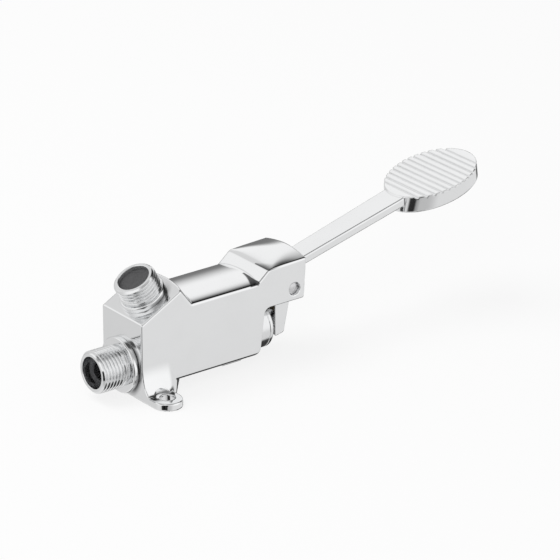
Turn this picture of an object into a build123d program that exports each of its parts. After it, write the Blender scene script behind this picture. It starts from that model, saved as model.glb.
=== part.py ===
"""Foot-pedal self-closing valve: cast body, two threaded ports, spring-closed poppet and pedal lever.

Millimetres. X runs from the inlet port towards the pedal, Z is up and the floor is Z = 0. The origin lies on
the floor, midway between the two mounting holes. The barrel's axis runs along X, as high as the inlet port.
"""

from build123d import *
from math import asin, cos, radians, sin, sqrt, tan
import os

# General fits and the overrun of cuts
running_clearance = 0.05
seating_clearance = 0.02
free_play = 0.3
overrun = 3.0

# Body: the side view
half_width = 16.0
lug_setback = 8.0
ridge_height = 39.0
facet_angle = 28.0
facet_run = 22.6
notch_run = 6.5
shoulder_height = 42.4
belly_height = 5.5
ramp_foot_run = 38.3
ramp_run = 7.2
hood_length = 22.3
hood_rise = 0.8
hood_above_pivot = 14.45
ear_below_pivot = 5.9
ear_rake = 1.3
ear_corner_radius = 1.0
ear_root_radius = 3.0
tail_rake = 3.0
tail_overlap = 23.2
tail_corner_radius = 4.5
edge_radius = 0.9

# Body: the crowned tops
crown_width_share = 1.04
barrel_crown = 2.0
wedge_crown = 3.0
hood_crown = 2.0
hood_crease_crown = 0.12
crown_root = 3.0

# Body: lugs, web and rear rest
lug_radius = 8.0
lug_hole_radius = 3.5
lug_hole_reach = 24.9
lug_thickness = 3.7
lug_edge_radius = 1.1
lug_flare_radius = 5.4
spot_face_radius = 6.5
web_length = 20.5
web_corner_radius = 3.5
rest_length = 12.0
rest_width = 11.0
rest_setback = 3.0

# Barrel and its bores
axis_height = 14.3
barrel_radius = 11.9
chamber_radius = 7.2
seat_bore_radius = 8.0
spring_bore_radius = 8.8
seat_station = 5.5
spring_station = 30.0
tail_station = 61.0

# Ports: a half-inch male parallel pipe thread
thread_radius = 10.4775
thread_chamfer = 1.2
relief_radius = 9.3
relief_length = 1.0
port_bore_radius = 7.86
port_throat_radius = 6.9
stub_radius = 9.0
stub_length = 6.0
inlet_reach = 17.7
inlet_collar_radius = 13.8
inlet_collar_thickness = 2.9
collar_edge_radius = 0.9
outlet_reach = 12.3
outlet_station = 14.43
outlet_collar_radius = 11.5
outlet_collar_thickness = 2.8
outlet_passage_radius = 6.0
gasket_thickness = 0.85
gasket_width = 1.5
gasket_nip = 0.05

# Strainer and screen
strainer_station = 5.0
strainer_flange = 1.0
strainer_radius = 5.6
strainer_depth = 7.0
strainer_wall = 0.7
screen_depth = 2.0
screen_thickness = 0.9

# Seat
seat_length = 4.0
seat_hole_radius = 4.6
seat_lip_height = 0.6
seat_lip_width = 0.8
ring_groove_depth = 1.5
ring_groove_width = 1.8
ring_squeeze = 0.04

# Poppet, on the pressure side of the seat
poppet_radius = 6.0
poppet_thickness = 2.2
poppet_edge = 0.5
seal_thickness = 1.8
seal_gap = 0.1
nut_across_flats = 7.0
nut_height = 2.6
nut_chamfer = 0.4

# Stem
stem_nose_radius = 1.9
stem_neck_radius = 2.6
stem_radius = 3.0
stem_tip_chamfer = 0.4
stem_nose_spare = 0.6

# Spring, its guide and its cap
guide_thickness = 1.6
guide_port_radius = 1.35
guide_port_count = 6
spring_wire_radius = 0.55
spring_mean_radius = 4.95
spring_length = 14.4
spring_turns = 6
cap_thickness = 1.2
cap_radius = 6.6
clip_thickness = 0.9
clip_radius = 4.4
clip_groove_depth = 0.6
clip_gap_angle = 70.0

# Bonnet and the seals in it
bonnet_end_station = 72.6
bonnet_edge_radius = 0.8
bonnet_gasket_thickness = 0.8
pocket_radius = 6.0
pocket_depth = 16.6
stem_seal_section = 2.6
spacer_length = 2.0
gland_length = 6.8
gland_socket_radius = 0.7
gland_socket_reach = 4.9
gland_socket_depth = 2.0
wiper_length = 1.8
wiper_radius = 4.2

# Push button on the stem's end
button_radius = 4.5
button_length = 2.5
button_dome_radius = 6.0
button_socket_share = 0.4

# Pedal lever
pivot_setback = 7.1
pivot_height = 34.75
pin_radius = 3.2
pin_recess = 0.9
pin_dome_height = 0.7
bush_wall = 0.9
hub_radius = 5.6
slot_half_width = 7.4
slot_corner_radius = 3.0
slot_front_gap = 7.5
washer_thickness = 1.0
lever_half_width = 6.2
finger_front = 4.3
finger_below_axis = 6.75
finger_foot = 5.2
finger_top = 8.6
finger_drop = 10.3
finger_corner_radius = 1.2
arm_thickness = 4.3
arm_top_above_pivot = 6.85
arm_front_overlap = 4.0
arm_front_half_width = 6.0
arm_end_half_width = 7.6
arm_pedal_overlap = 11.875
arm_pedal_step = 0.489
arm_edge_radius = 0.7
pedal_slope = 13.0
pedal_reach = 95.9
pedal_rise = 31.75
pedal_half_length = 24.4
pedal_half_width = 21.0
pedal_thickness = 8.2
pedal_edge_radius = 0.8
pedal_foot_half_length = 25.5
pedal_foot_half_width = 19.5
pedal_foot_shift = 1.2
rib_height = 0.9
rib_edge_radius = 0.35
groove_half_width = 0.7
rib_pitch = 3.5
rib_count = 13
pedal_wall = 3.2
pedal_pocket_depth = 3.8

# Worked-out places, all from the sizes above
front_x = -lug_setback
peak_x = front_x + facet_run
peak_height = ridge_height + facet_run * tan(radians(facet_angle))
notch_x = peak_x + notch_run
ramp_foot_x = notch_x + ramp_foot_run
ramp_top_x = ramp_foot_x + ramp_run
hood_end_x = ramp_top_x + hood_length
hood_end_height = pivot_height + hood_above_pivot
ramp_top_height = hood_end_height - hood_rise
ear_bottom = pivot_height - ear_below_pivot
ear_bottom_x = hood_end_x - ear_rake
tail_top_x = hood_end_x - tail_overlap - ear_rake
tail_bottom_x = tail_top_x - tail_rake
pivot_x = hood_end_x - pivot_setback
bonnet_face_x = tail_station
bonnet_end_x = bonnet_end_station
slot_front_x = pivot_x - finger_front - slot_front_gap
finger_x = pivot_x - finger_front
button_end_x = finger_x - free_play
button_x = button_end_x - button_length
stem_seal_x = bonnet_end_x - pocket_depth

barrel_line = Plane.YZ
side_view = Plane.XZ
slope = radians(facet_angle)
facet_plane = Plane(
    origin=(front_x, 0, ridge_height),
    x_dir=(cos(slope), 0, sin(slope)),
    z_dir=(-sin(slope), 0, cos(slope)),
)
outlet_plane = Plane(
    origin=facet_plane.from_local_coords((outlet_station, 0, 0)),
    x_dir=facet_plane.x_dir,
    z_dir=facet_plane.z_dir,
)
outlet_run = (outlet_plane.origin.Z - axis_height) / cos(slope)
tilt = radians(pedal_slope)
pedal_plane = Plane(
    origin=(pivot_x + pedal_reach, 0, pivot_height + pedal_rise),
    x_dir=(cos(tilt), 0, sin(tilt)),
    z_dir=(-sin(tilt), 0, cos(tilt)),
)

# The arm runs straight from above the pivot to just under the pedal's front tip
tip_run = pedal_reach - pedal_half_length * cos(tilt)
tip_rise = pedal_rise - pedal_half_length * sin(tilt) - arm_pedal_step
arm_rise_rate = (tip_rise - arm_top_above_pivot) / tip_run
arm_front_x = pivot_x - arm_front_overlap
arm_end_x = pivot_x + tip_run + arm_pedal_overlap


def arm_top(station):
    """Height of the arm's top face at a place along the lever."""
    return pivot_height + arm_top_above_pivot + (station - pivot_x) * arm_rise_rate


roof_height = arm_top(hood_end_x) + free_play


def disc(station, radius, length, mode=Mode.ADD):
    """Round length of the barrel's axis, from one station towards the pedal."""
    with BuildSketch(barrel_line.offset(station)) as circle:
        with Locations((0, axis_height)):
            Circle(radius)
    extrude(circle.sketch, amount=length, mode=mode)


def port_disc(plane, start, radius, length, mode=Mode.ADD):
    """Round length on a port's own plane, measured outwards from the body's face."""
    with BuildSketch(plane.offset(start)) as circle:
        Circle(radius)
    extrude(circle.sketch, amount=length, mode=mode)


def crowned_section(plane, edge_height, crown):
    """Cross-section with a flat bottom and an elliptical top cut short of the ellipse's tips."""
    tip = half_width * crown_width_share
    edge_share = sqrt(1 - (half_width / tip) ** 2)
    rise = crown / (1 - edge_share)
    centre = edge_height - rise * edge_share
    with BuildSketch(plane) as section:
        with Locations((0, centre)):
            Ellipse(tip, rise)
            Rectangle(2 * half_width, 2 * rise, mode=Mode.INTERSECT)
        with Locations((0, edge_height)):
            Rectangle(2 * half_width, 2 * rise, align=(Align.CENTER, Align.MIN), mode=Mode.INTERSECT)
        with Locations((0, edge_height)):
            Rectangle(2 * half_width, crown_root, align=(Align.CENTER, Align.MAX))
    return section


def hood_section(station, edge_height, crown):
    """Cross-section of the hood's roof: a rectangle with a round arc on top."""
    with BuildSketch(Plane.YZ.offset(station)) as section:
        with BuildLine():
            root = edge_height - crown_root
            top_left = (-half_width, edge_height)
            top_right = (half_width, edge_height)
            Polyline(top_left, (-half_width, root), (half_width, root), top_right)
            ThreePointArc(top_right, (0, edge_height + crown), top_left)
        make_face()
    return section


# Mounting lugs: a plate with a round end and a hole on each side
with BuildPart() as lug_plate:
    with BuildSketch():
        SlotCenterToCenter(2 * lug_hole_reach, 2 * lug_radius, rotation=90)
    extrude(amount=lug_thickness)
    fillet(lug_plate.faces().sort_by(Axis.Z)[-1].edges(), lug_edge_radius)
    with BuildSketch():
        with Locations((front_x, 0)):
            Rectangle(web_length, 2 * half_width, align=(Align.MIN, Align.CENTER))
    extrude(amount=belly_height)
    web_edges = lug_plate.edges().filter_by(Axis.Z).group_by(Axis.X)[-1]
    fillet(web_edges, web_corner_radius)

# The valve body: one casting
with BuildPart() as valve_body:
    with BuildSketch(side_view) as outline:
        with BuildLine():
            Polyline(
                (front_x, belly_height),
                (front_x, ridge_height),
                (peak_x, peak_height),
                (notch_x, shoulder_height),
                (ramp_foot_x, shoulder_height),
                (ramp_top_x, ramp_top_height),
                (hood_end_x, hood_end_height),
                (ear_bottom_x, ear_bottom),
                (tail_top_x, ear_bottom),
                (tail_bottom_x, belly_height),
                close=True,
            )
        make_face()
        corners = outline.vertices()
        fillet(corners.sort_by_distance((tail_bottom_x, belly_height))[0], tail_corner_radius)
        fillet(corners.sort_by_distance((ear_bottom_x, ear_bottom))[0], ear_corner_radius)
        fillet(corners.sort_by_distance((tail_top_x, ear_bottom))[0], ear_root_radius)
    extrude(amount=half_width, both=True)
    side_edges = valve_body.faces().filter_by(Axis.Y).edges()
    low_edges = side_edges.filter_by(lambda edge: edge.center().Z < ear_bottom - ear_corner_radius)
    fillet(low_edges, edge_radius)

    # Crowned tops of the barrel, of the wedge behind the sloped face, and of the hood
    barrel_top = crowned_section(Plane.YZ.offset(peak_x), shoulder_height, barrel_crown)
    extrude(barrel_top.sketch, amount=ramp_foot_x + ramp_run / 2 - peak_x)
    drop = Vector(notch_run, 0, shoulder_height - peak_height)
    wedge_plane = Plane(origin=(peak_x, 0, peak_height), x_dir=(0, 1, 0), z_dir=drop.normalized())
    wedge_top = crowned_section(wedge_plane.offset(-crown_root), 0, wedge_crown)
    extrude(wedge_top.sketch, amount=drop.length + 2 * crown_root)
    hood_front = hood_section(ramp_top_x, ramp_top_height, hood_crease_crown)
    hood_back = hood_section(hood_end_x, hood_end_height, hood_crown)
    loft(sections=[hood_front.sketch, hood_back.sketch])
    with BuildSketch(facet_plane):
        with Locations((-facet_run, 0)):
            Rectangle(4 * facet_run, 4 * half_width, align=(Align.MIN, Align.CENTER))
    extrude(amount=facet_run, mode=Mode.SUBTRACT)

    # Barrel's round belly, lugs with their flares, and the rear rest
    disc(front_x, barrel_radius, tail_station - front_x)
    add(lug_plate.part)
    with BuildSketch(Plane.YZ.offset(front_x)):
        for side in (1, -1):
            foot = (side * (half_width + lug_flare_radius), lug_thickness)
            heel = (side * half_width, lug_thickness + lug_flare_radius)
            flare_bulge = lug_flare_radius * (1 - sqrt(0.5))
            middle = (side * (half_width + flare_bulge), lug_thickness + flare_bulge)
            inner_y = side * (half_width - edge_radius)
            low_z = lug_thickness - lug_edge_radius
            with BuildLine():
                ThreePointArc(foot, middle, heel)
                Polyline(heel, (inner_y, heel[1]), (inner_y, low_z), (foot[0], low_z), foot)
            make_face()
    extrude(amount=lug_setback + lug_radius - lug_edge_radius)
    with BuildSketch():
        with Locations((tail_station - rest_setback, 0)):
            Rectangle(rest_length, rest_width, align=(Align.MAX, Align.CENTER))
    extrude(amount=axis_height - spring_bore_radius - edge_radius)

    # Bores of the barrel, from the inlet to the bonnet
    stub_bore_radius = stub_radius + running_clearance
    gasket_seat_radius = stub_radius + gasket_width
    disc(front_x - overrun, stub_bore_radius, stub_length + overrun, Mode.SUBTRACT)
    disc(front_x, chamber_radius, seat_station - front_x, Mode.SUBTRACT)
    disc(seat_station, seat_bore_radius, spring_station - seat_station, Mode.SUBTRACT)
    disc(spring_station, spring_bore_radius, hood_end_x - spring_station - hood_length, Mode.SUBTRACT)
    disc(bonnet_face_x, barrel_radius + free_play, hood_length, Mode.SUBTRACT)
    disc(front_x - overrun, gasket_seat_radius, gasket_thickness + overrun, Mode.SUBTRACT)

    # Outlet: stub bore, gasket recess and the passage down to the barrel
    port_disc(outlet_plane, -stub_length, stub_bore_radius, stub_length + overrun, Mode.SUBTRACT)
    port_disc(outlet_plane, -gasket_thickness, gasket_seat_radius, gasket_thickness + overrun, Mode.SUBTRACT)
    port_disc(outlet_plane, -outlet_run, outlet_passage_radius, outlet_run, Mode.SUBTRACT)

    # Mounting holes, each with a spot-face for its screw's head cut into the flare
    with Locations((0, lug_hole_reach, lug_thickness), (0, -lug_hole_reach, lug_thickness)):
        Hole(lug_hole_radius, depth=lug_thickness)
        Cylinder(
            spot_face_radius,
            lug_flare_radius,
            align=(Align.CENTER, Align.CENTER, Align.MIN),
            mode=Mode.SUBTRACT,
        )

    # Slot for the lever, open below and behind, and the pivot hole through both ears
    with BuildSketch(side_view) as slot:
        with BuildLine():
            Polyline(
                (slot_front_x, axis_height),
                (slot_front_x, roof_height),
                (hood_end_x + overrun, roof_height),
                (hood_end_x + overrun, axis_height),
                close=True,
            )
        make_face()
        fillet(slot.vertices().sort_by_distance((slot_front_x, roof_height))[0], slot_corner_radius)
    extrude(amount=slot_half_width, both=True, mode=Mode.SUBTRACT)
    with BuildSketch(side_view):
        with Locations((pivot_x, pivot_height)):
            Circle(pin_radius + running_clearance)
    extrude(amount=half_width + overrun, both=True, mode=Mode.SUBTRACT)
valve_body.part.label = "valve_body"


def nipple(plane, reach, collar_radius, collar_thickness, step_depth):
    """Male port: stub, collar, relief, threaded length as its plain major diameter, and a stepped bore."""
    port_axis = Axis(plane.origin, plane.z_dir)
    thread_start = collar_thickness + relief_length
    with BuildPart() as piece:
        port_disc(plane, -stub_length, stub_radius, stub_length)
        port_disc(plane, 0, collar_radius, collar_thickness)
        fillet(piece.faces().sort_by(port_axis)[-1].edges(), collar_edge_radius)
        port_disc(plane, collar_thickness, relief_radius, relief_length)
        port_disc(plane, thread_start, thread_radius, reach - thread_start)
        chamfer(piece.faces().sort_by(port_axis)[-1].edges(), thread_chamfer)
        port_disc(plane, -stub_length, port_throat_radius, reach + stub_length, Mode.SUBTRACT)
        port_disc(plane, reach - step_depth, port_bore_radius, step_depth + overrun, Mode.SUBTRACT)
    return piece


inlet_plane = Plane(origin=(front_x, 0, axis_height), x_dir=(0, 1, 0), z_dir=(-1, 0, 0))
inlet_nipple = nipple(
    inlet_plane,
    inlet_reach,
    inlet_collar_radius,
    inlet_collar_thickness,
    inlet_reach - strainer_station,
)
inlet_nipple.part.label = "inlet_nipple"
outlet_nipple = nipple(
    outlet_plane,
    outlet_reach,
    outlet_collar_radius,
    outlet_collar_thickness,
    screen_depth + screen_thickness,
)
outlet_nipple.part.label = "outlet_nipple"


def gasket(plane):
    """Flat sealing ring in the recess behind a port's collar."""
    with BuildPart() as piece:
        with BuildSketch(plane.offset(-gasket_thickness)):
            Circle(stub_radius + gasket_width - gasket_nip)
            Circle(stub_radius + running_clearance, mode=Mode.SUBTRACT)
        extrude(amount=gasket_thickness - gasket_nip)
    return piece


inlet_gasket = gasket(inlet_plane)
inlet_gasket.part.label = "inlet_gasket"
outlet_gasket = gasket(outlet_plane)
outlet_gasket.part.label = "outlet_gasket"

# Strainer: a flanged cup in the inlet nipple, its closed end towards the seat
with BuildPart() as inlet_strainer:
    cup_floor = strainer_station + strainer_flange - strainer_depth
    cup_radius = strainer_radius - strainer_wall
    port_disc(inlet_plane, strainer_station, port_bore_radius - running_clearance, strainer_flange)
    port_disc(inlet_plane, cup_floor, strainer_radius, strainer_depth)
    port_disc(inlet_plane, cup_floor + strainer_wall, cup_radius, strainer_depth, Mode.SUBTRACT)
inlet_strainer.part.label = "inlet_strainer"

# Screen: a flat disc on its step just inside the outlet
with BuildPart() as outlet_screen:
    port_disc(
        outlet_plane,
        outlet_reach - screen_depth - screen_thickness,
        port_bore_radius - running_clearance,
        screen_thickness,
    )
outlet_screen.part.label = "outlet_screen"

# Seat bush with its raised lip towards the inlet, and a groove for its ring
with BuildPart() as seat_bush:
    disc(seat_station, seat_bore_radius - seating_clearance, seat_length)
    disc(seat_station - seat_lip_height, seat_hole_radius + seat_lip_width, seat_lip_height)
    disc(seat_station - seat_lip_height, seat_hole_radius, seat_lip_height + seat_length, Mode.SUBTRACT)
    groove_x = seat_station + (seat_length - ring_groove_width) / 2
    with BuildSketch(Plane.YZ.offset(groove_x)):
        with Locations((0, axis_height)):
            Circle(seat_bore_radius + overrun)
            Circle(seat_bore_radius - ring_groove_depth, mode=Mode.SUBTRACT)
    extrude(amount=ring_groove_width, mode=Mode.SUBTRACT)
seat_bush.part.label = "seat_bush"


def ring(centre_x, inner_radius, outer_radius):
    """Rubber ring of round section, flattened to fit between its shaft and its bore."""
    section = (outer_radius - inner_radius) / 2
    with BuildPart() as piece:
        with BuildSketch(Plane.XZ):
            with Locations((centre_x, axis_height + inner_radius + section)):
                Circle(section)
        revolve(axis=Axis((0, 0, axis_height), (1, 0, 0)))
    return piece


seat_o_ring = ring(
    seat_station + seat_length / 2,
    seat_bore_radius - ring_groove_depth + ring_squeeze,
    seat_bore_radius - ring_squeeze,
)
seat_o_ring.part.label = "seat_o_ring"

# Poppet, its rubber face and its nut
seal_x = seat_station - seat_lip_height - seal_gap - seal_thickness
poppet_x = seal_x - poppet_thickness
nut_x = poppet_x - nut_height
with BuildPart() as poppet:
    disc(poppet_x, poppet_radius, poppet_thickness)
    chamfer(poppet.faces().sort_by(Axis.X)[0].edges(), poppet_edge)
    disc(poppet_x, stem_nose_radius + seating_clearance, poppet_thickness, Mode.SUBTRACT)
poppet.part.label = "poppet"

with BuildPart() as poppet_seal:
    disc(seal_x, poppet_radius - poppet_edge, seal_thickness)
    disc(seal_x, stem_nose_radius + seating_clearance, seal_thickness, Mode.SUBTRACT)
poppet_seal.part.label = "poppet_seal"

with BuildPart() as poppet_nut:
    with BuildSketch(Plane.YZ.offset(nut_x)):
        with Locations((0, axis_height)):
            RegularPolygon(nut_across_flats / 2, 6, major_radius=False)
    extrude(amount=nut_height)
    chamfer(poppet_nut.faces().sort_by(Axis.X)[0].edges(), nut_chamfer)
    disc(nut_x, stem_nose_radius + seating_clearance, nut_height, Mode.SUBTRACT)
poppet_nut.part.label = "poppet_nut"

# Stem: nose through the poppet, neck through the seat, shank through guide, spring and bonnet
guide_x = spring_station
spring_x = guide_x + guide_thickness
cap_x = spring_x + spring_length
clip_x = cap_x + cap_thickness
bonnet_x = clip_x + clip_thickness + free_play
stem_end_x = button_x + button_length * button_socket_share
with BuildPart() as stem:
    nose_start = nut_x - stem_nose_spare
    shoulder_x = seal_x + seal_thickness
    disc(nose_start, stem_nose_radius, shoulder_x - nose_start)
    chamfer(stem.faces().sort_by(Axis.X)[0].edges(), stem_tip_chamfer)
    disc(shoulder_x, stem_neck_radius, guide_x - overrun - shoulder_x)
    disc(guide_x - overrun, stem_radius, stem_end_x - guide_x + overrun)
    with BuildSketch(Plane.YZ.offset(clip_x)):
        with Locations((0, axis_height)):
            Circle(stem_radius + overrun)
            Circle(stem_radius - clip_groove_depth, mode=Mode.SUBTRACT)
    extrude(amount=clip_thickness, mode=Mode.SUBTRACT)
stem.part.label = "stem"

# Guide: a ring with water ways round a hub that steadies the stem and carries the spring
with BuildPart() as spring_guide:
    disc(guide_x, spring_bore_radius - running_clearance, guide_thickness)
    disc(guide_x, stem_radius + running_clearance, guide_thickness, Mode.SUBTRACT)
    with BuildSketch(Plane.YZ.offset(guide_x)):
        with Locations((0, axis_height)):
            with PolarLocations((spring_mean_radius + spring_bore_radius) / 2, guide_port_count):
                Circle(guide_port_radius)
    extrude(amount=guide_thickness, mode=Mode.SUBTRACT)
spring_guide.part.label = "spring_guide"

# Return spring: an open coil between the guide and the cap on the stem
with BuildPart() as return_spring:
    coil_span = spring_length - 2 * spring_wire_radius - 2 * running_clearance
    coil_start = spring_x + spring_wire_radius + running_clearance
    with BuildLine() as coil:
        Helix(
            coil_span / spring_turns,
            coil_span,
            spring_mean_radius,
            center=(coil_start, 0, axis_height),
            direction=(1, 0, 0),
        )
    with BuildSketch(Plane(origin=coil.line @ 0, z_dir=coil.line % 0)):
        Circle(spring_wire_radius)
    sweep()
return_spring.part.label = "return_spring"

with BuildPart() as spring_cap:
    disc(cap_x, cap_radius, cap_thickness)
    disc(cap_x, stem_radius + seating_clearance, cap_thickness, Mode.SUBTRACT)
spring_cap.part.label = "spring_cap"

# Circlip in the stem's groove, open on one side
with BuildPart() as stem_clip:
    with BuildSketch(Plane.YZ.offset(clip_x + seating_clearance)):
        with Locations((0, axis_height)):
            Circle(clip_radius)
            Circle(stem_radius - clip_groove_depth + seating_clearance, mode=Mode.SUBTRACT)
        with BuildLine():
            half_gap = radians(clip_gap_angle / 2)
            gap_reach = 2 * clip_radius
            centre = (0, axis_height)
            gap_y = gap_reach * sin(half_gap)
            gap_z = axis_height - gap_reach * cos(half_gap)
            Polyline(centre, (-gap_y, gap_z), (gap_y, gap_z), close=True)
        make_face(mode=Mode.SUBTRACT)
    extrude(amount=clip_thickness - 2 * seating_clearance)
stem_clip.part.label = "stem_clip"

# Bonnet: screwed into the barrel, with a round head and a pocket for the stem's seals
head_x = bonnet_face_x + bonnet_gasket_thickness
with BuildPart() as bonnet:
    disc(bonnet_x, spring_bore_radius - running_clearance, head_x - bonnet_x)
    disc(head_x, barrel_radius, bonnet_end_x - head_x)
    fillet(bonnet.faces().sort_by(Axis.X)[-1].edges(), bonnet_edge_radius)
    disc(bonnet_x, stem_radius + running_clearance, bonnet_end_x - bonnet_x, Mode.SUBTRACT)
    disc(stem_seal_x, pocket_radius, pocket_depth + overrun, Mode.SUBTRACT)
bonnet.part.label = "bonnet"

with BuildPart() as bonnet_gasket:
    with BuildSketch(Plane.YZ.offset(bonnet_face_x)):
        with Locations((0, axis_height)):
            Circle(barrel_radius - edge_radius)
            Circle(spring_bore_radius, mode=Mode.SUBTRACT)
    extrude(amount=bonnet_gasket_thickness)
bonnet_gasket.part.label = "bonnet_gasket"

# Two seals on the stem with a spacer between them, then the gland nut and the wiper
stem_seal_inner = stem_radius + running_clearance
stem_seal_outer = pocket_radius - running_clearance
spacer_x = stem_seal_x + stem_seal_section + 2 * running_clearance
second_seal_x = spacer_x + spacer_length + 2 * running_clearance
gland_x = second_seal_x + stem_seal_section + 2 * running_clearance
seal_half = (stem_seal_outer - stem_seal_inner) / 2
with BuildPart() as stem_seals:
    for seal_start in (stem_seal_x, second_seal_x):
        with BuildSketch(Plane.XZ):
            ring_x = seal_start + running_clearance + stem_seal_section / 2
            with Locations((ring_x, axis_height + stem_seal_inner + seal_half)):
                Ellipse(stem_seal_section / 2, seal_half)
        revolve(axis=Axis((0, 0, axis_height), (1, 0, 0)))
stem_seals.part.label = "stem_seals"

with BuildPart() as seal_spacer:
    disc(spacer_x, pocket_radius - running_clearance, spacer_length)
    disc(spacer_x, stem_radius + running_clearance, spacer_length, Mode.SUBTRACT)
seal_spacer.part.label = "seal_spacer"

gland_end_x = gland_x + gland_length
with BuildPart() as gland_nut:
    disc(gland_x, pocket_radius - running_clearance, gland_length)
    disc(gland_x, stem_radius + running_clearance, gland_length, Mode.SUBTRACT)
    disc(gland_end_x - wiper_length, wiper_radius, wiper_length, Mode.SUBTRACT)
    with BuildSketch(Plane.YZ.offset(gland_end_x - gland_socket_depth)):
        with Locations((0, axis_height)):
            with PolarLocations(gland_socket_reach, 2):
                Circle(gland_socket_radius)
    extrude(amount=gland_socket_depth, mode=Mode.SUBTRACT)
gland_nut.part.label = "gland_nut"

with BuildPart() as stem_wiper:
    disc(gland_end_x - wiper_length, wiper_radius - seating_clearance, wiper_length)
    disc(gland_end_x - wiper_length, stem_radius + running_clearance, wiper_length, Mode.SUBTRACT)
stem_wiper.part.label = "stem_wiper"

# Button: domed, with a socket for the stem's end
with BuildPart() as push_button:
    disc(button_x, button_radius, button_length)
    with BuildSketch(Plane.XZ):
        with BuildLine():
            dome_centre = button_end_x - button_dome_radius
            rim_x = dome_centre + sqrt(button_dome_radius**2 - button_radius**2)
            rim_angle = asin(button_radius / button_dome_radius) / 2
            rim = (rim_x, axis_height + button_radius)
            middle = (
                dome_centre + button_dome_radius * cos(rim_angle),
                axis_height + button_dome_radius * sin(rim_angle),
            )
            apex = (button_end_x, axis_height)
            far = button_end_x + overrun
            ThreePointArc(rim, middle, apex)
            clear_z = axis_height + button_radius + overrun
            Polyline(apex, (far, axis_height), (far, clear_z), (rim_x, clear_z), rim)
        make_face()
    revolve(axis=Axis((0, 0, axis_height), (1, 0, 0)), mode=Mode.SUBTRACT)
    disc(button_x, stem_radius + seating_clearance, stem_end_x - button_x, Mode.SUBTRACT)
push_button.part.label = "push_button"

# Pedal plate: a ribbed strip cut to an oval that narrows downwards, pocketed from below
rib_view = Plane(origin=pedal_plane.origin, x_dir=pedal_plane.x_dir, z_dir=(0, -1, 0))
pedal_axis = Axis(pedal_plane.origin, pedal_plane.z_dir)
with BuildPart() as pedal_plate:
    with BuildSketch(rib_view) as rib_profile:
        strip_length = 2 * (pedal_foot_half_length + pedal_foot_shift)
        Rectangle(strip_length, pedal_thickness, align=(Align.CENTER, Align.MAX))
        with GridLocations(rib_pitch, 0, rib_count - 1, 1):
            Ellipse(groove_half_width, rib_height, mode=Mode.SUBTRACT)
        fillet(rib_profile.vertices().group_by(Axis.Y)[-1], rib_edge_radius)
    extrude(amount=pedal_half_width, both=True)
    with BuildSketch(pedal_plane):
        Ellipse(pedal_half_length, pedal_half_width)
    with BuildSketch(pedal_plane.offset(-pedal_thickness)):
        with Locations((-pedal_foot_shift, 0)):
            Ellipse(pedal_foot_half_length, pedal_foot_half_width)
    loft(mode=Mode.INTERSECT)
    fillet(pedal_plate.faces().sort_by(pedal_axis)[0].edges(), pedal_edge_radius)
    with BuildSketch(pedal_plane.offset(-pedal_thickness)):
        with Locations((-pedal_foot_shift, 0)):
            Ellipse(pedal_foot_half_length - pedal_wall, pedal_foot_half_width - pedal_wall)
        with Locations((-pedal_half_length, 0)):
            Rectangle(pedal_half_length, 2 * arm_end_half_width, mode=Mode.SUBTRACT)
    extrude(amount=pedal_pocket_depth, mode=Mode.SUBTRACT)

# Pedal lever: one casting with a hub, a finger down to the button, the arm and the pedal plate
with BuildPart() as pedal_lever:
    arm_drop = arm_thickness * sqrt(1 + arm_rise_rate**2)
    with BuildSketch(side_view) as arm_profile:
        with BuildLine():
            Polyline(
                (arm_front_x, arm_top(arm_front_x)),
                (arm_end_x, arm_top(arm_end_x)),
                (arm_end_x, arm_top(arm_end_x) - arm_drop),
                (arm_front_x, arm_top(arm_front_x) - arm_drop),
                close=True,
            )
        make_face()
    extrude(amount=arm_end_half_width, both=True)
    with BuildSketch():
        with BuildLine():
            Polyline(
                (arm_front_x, arm_front_half_width),
                (arm_end_x, arm_end_half_width),
                (arm_end_x, -arm_end_half_width),
                (arm_front_x, -arm_front_half_width),
                close=True,
            )
        make_face()
    extrude(amount=2 * pivot_height, mode=Mode.INTERSECT)
    arm_run = arm_end_x - arm_front_x
    fillet(pedal_lever.edges().filter_by(lambda edge: edge.length > arm_run / 2), arm_edge_radius)
    with BuildSketch(side_view) as finger_profile:
        finger_bottom = axis_height - finger_below_axis
        toe = (finger_x + finger_foot, finger_bottom + finger_corner_radius)
        with BuildLine():
            Polyline(
                (finger_x, arm_top(finger_x) - arm_drop / 2),
                (finger_x, finger_bottom),
                toe,
                (finger_x + finger_top, pivot_height - finger_drop),
                (pivot_x + hub_radius, pivot_height),
                (pivot_x + hub_radius, arm_top(pivot_x + hub_radius) - arm_drop / 2),
                close=True,
            )
        make_face()
        fillet(finger_profile.vertices().sort_by_distance(toe)[0], finger_corner_radius)
        with Locations((pivot_x, pivot_height)):
            Circle(hub_radius)
    extrude(amount=lever_half_width, both=True)

    # The arm ends flush below the ribs' grooves, where the pedal joins it
    with BuildSketch(pedal_plane.offset(-rib_height)):
        Ellipse(pedal_half_length, pedal_half_width)
    extrude(amount=pedal_thickness, mode=Mode.SUBTRACT)
    add(pedal_plate.part)

    # Hole for the pivot's bush
    with BuildSketch(side_view):
        with Locations((pivot_x, pivot_height)):
            Circle(pin_radius + running_clearance + bush_wall + seating_clearance)
    extrude(amount=lever_half_width + overrun, both=True, mode=Mode.SUBTRACT)
pedal_lever.part.label = "pedal_lever"

# Bush and washers of the pivot
with BuildPart() as lever_bush:
    with BuildSketch(side_view):
        with Locations((pivot_x, pivot_height)):
            Circle(pin_radius + running_clearance + bush_wall)
            Circle(pin_radius + running_clearance, mode=Mode.SUBTRACT)
    extrude(amount=lever_half_width, both=True)
lever_bush.part.label = "lever_bush"

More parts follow.
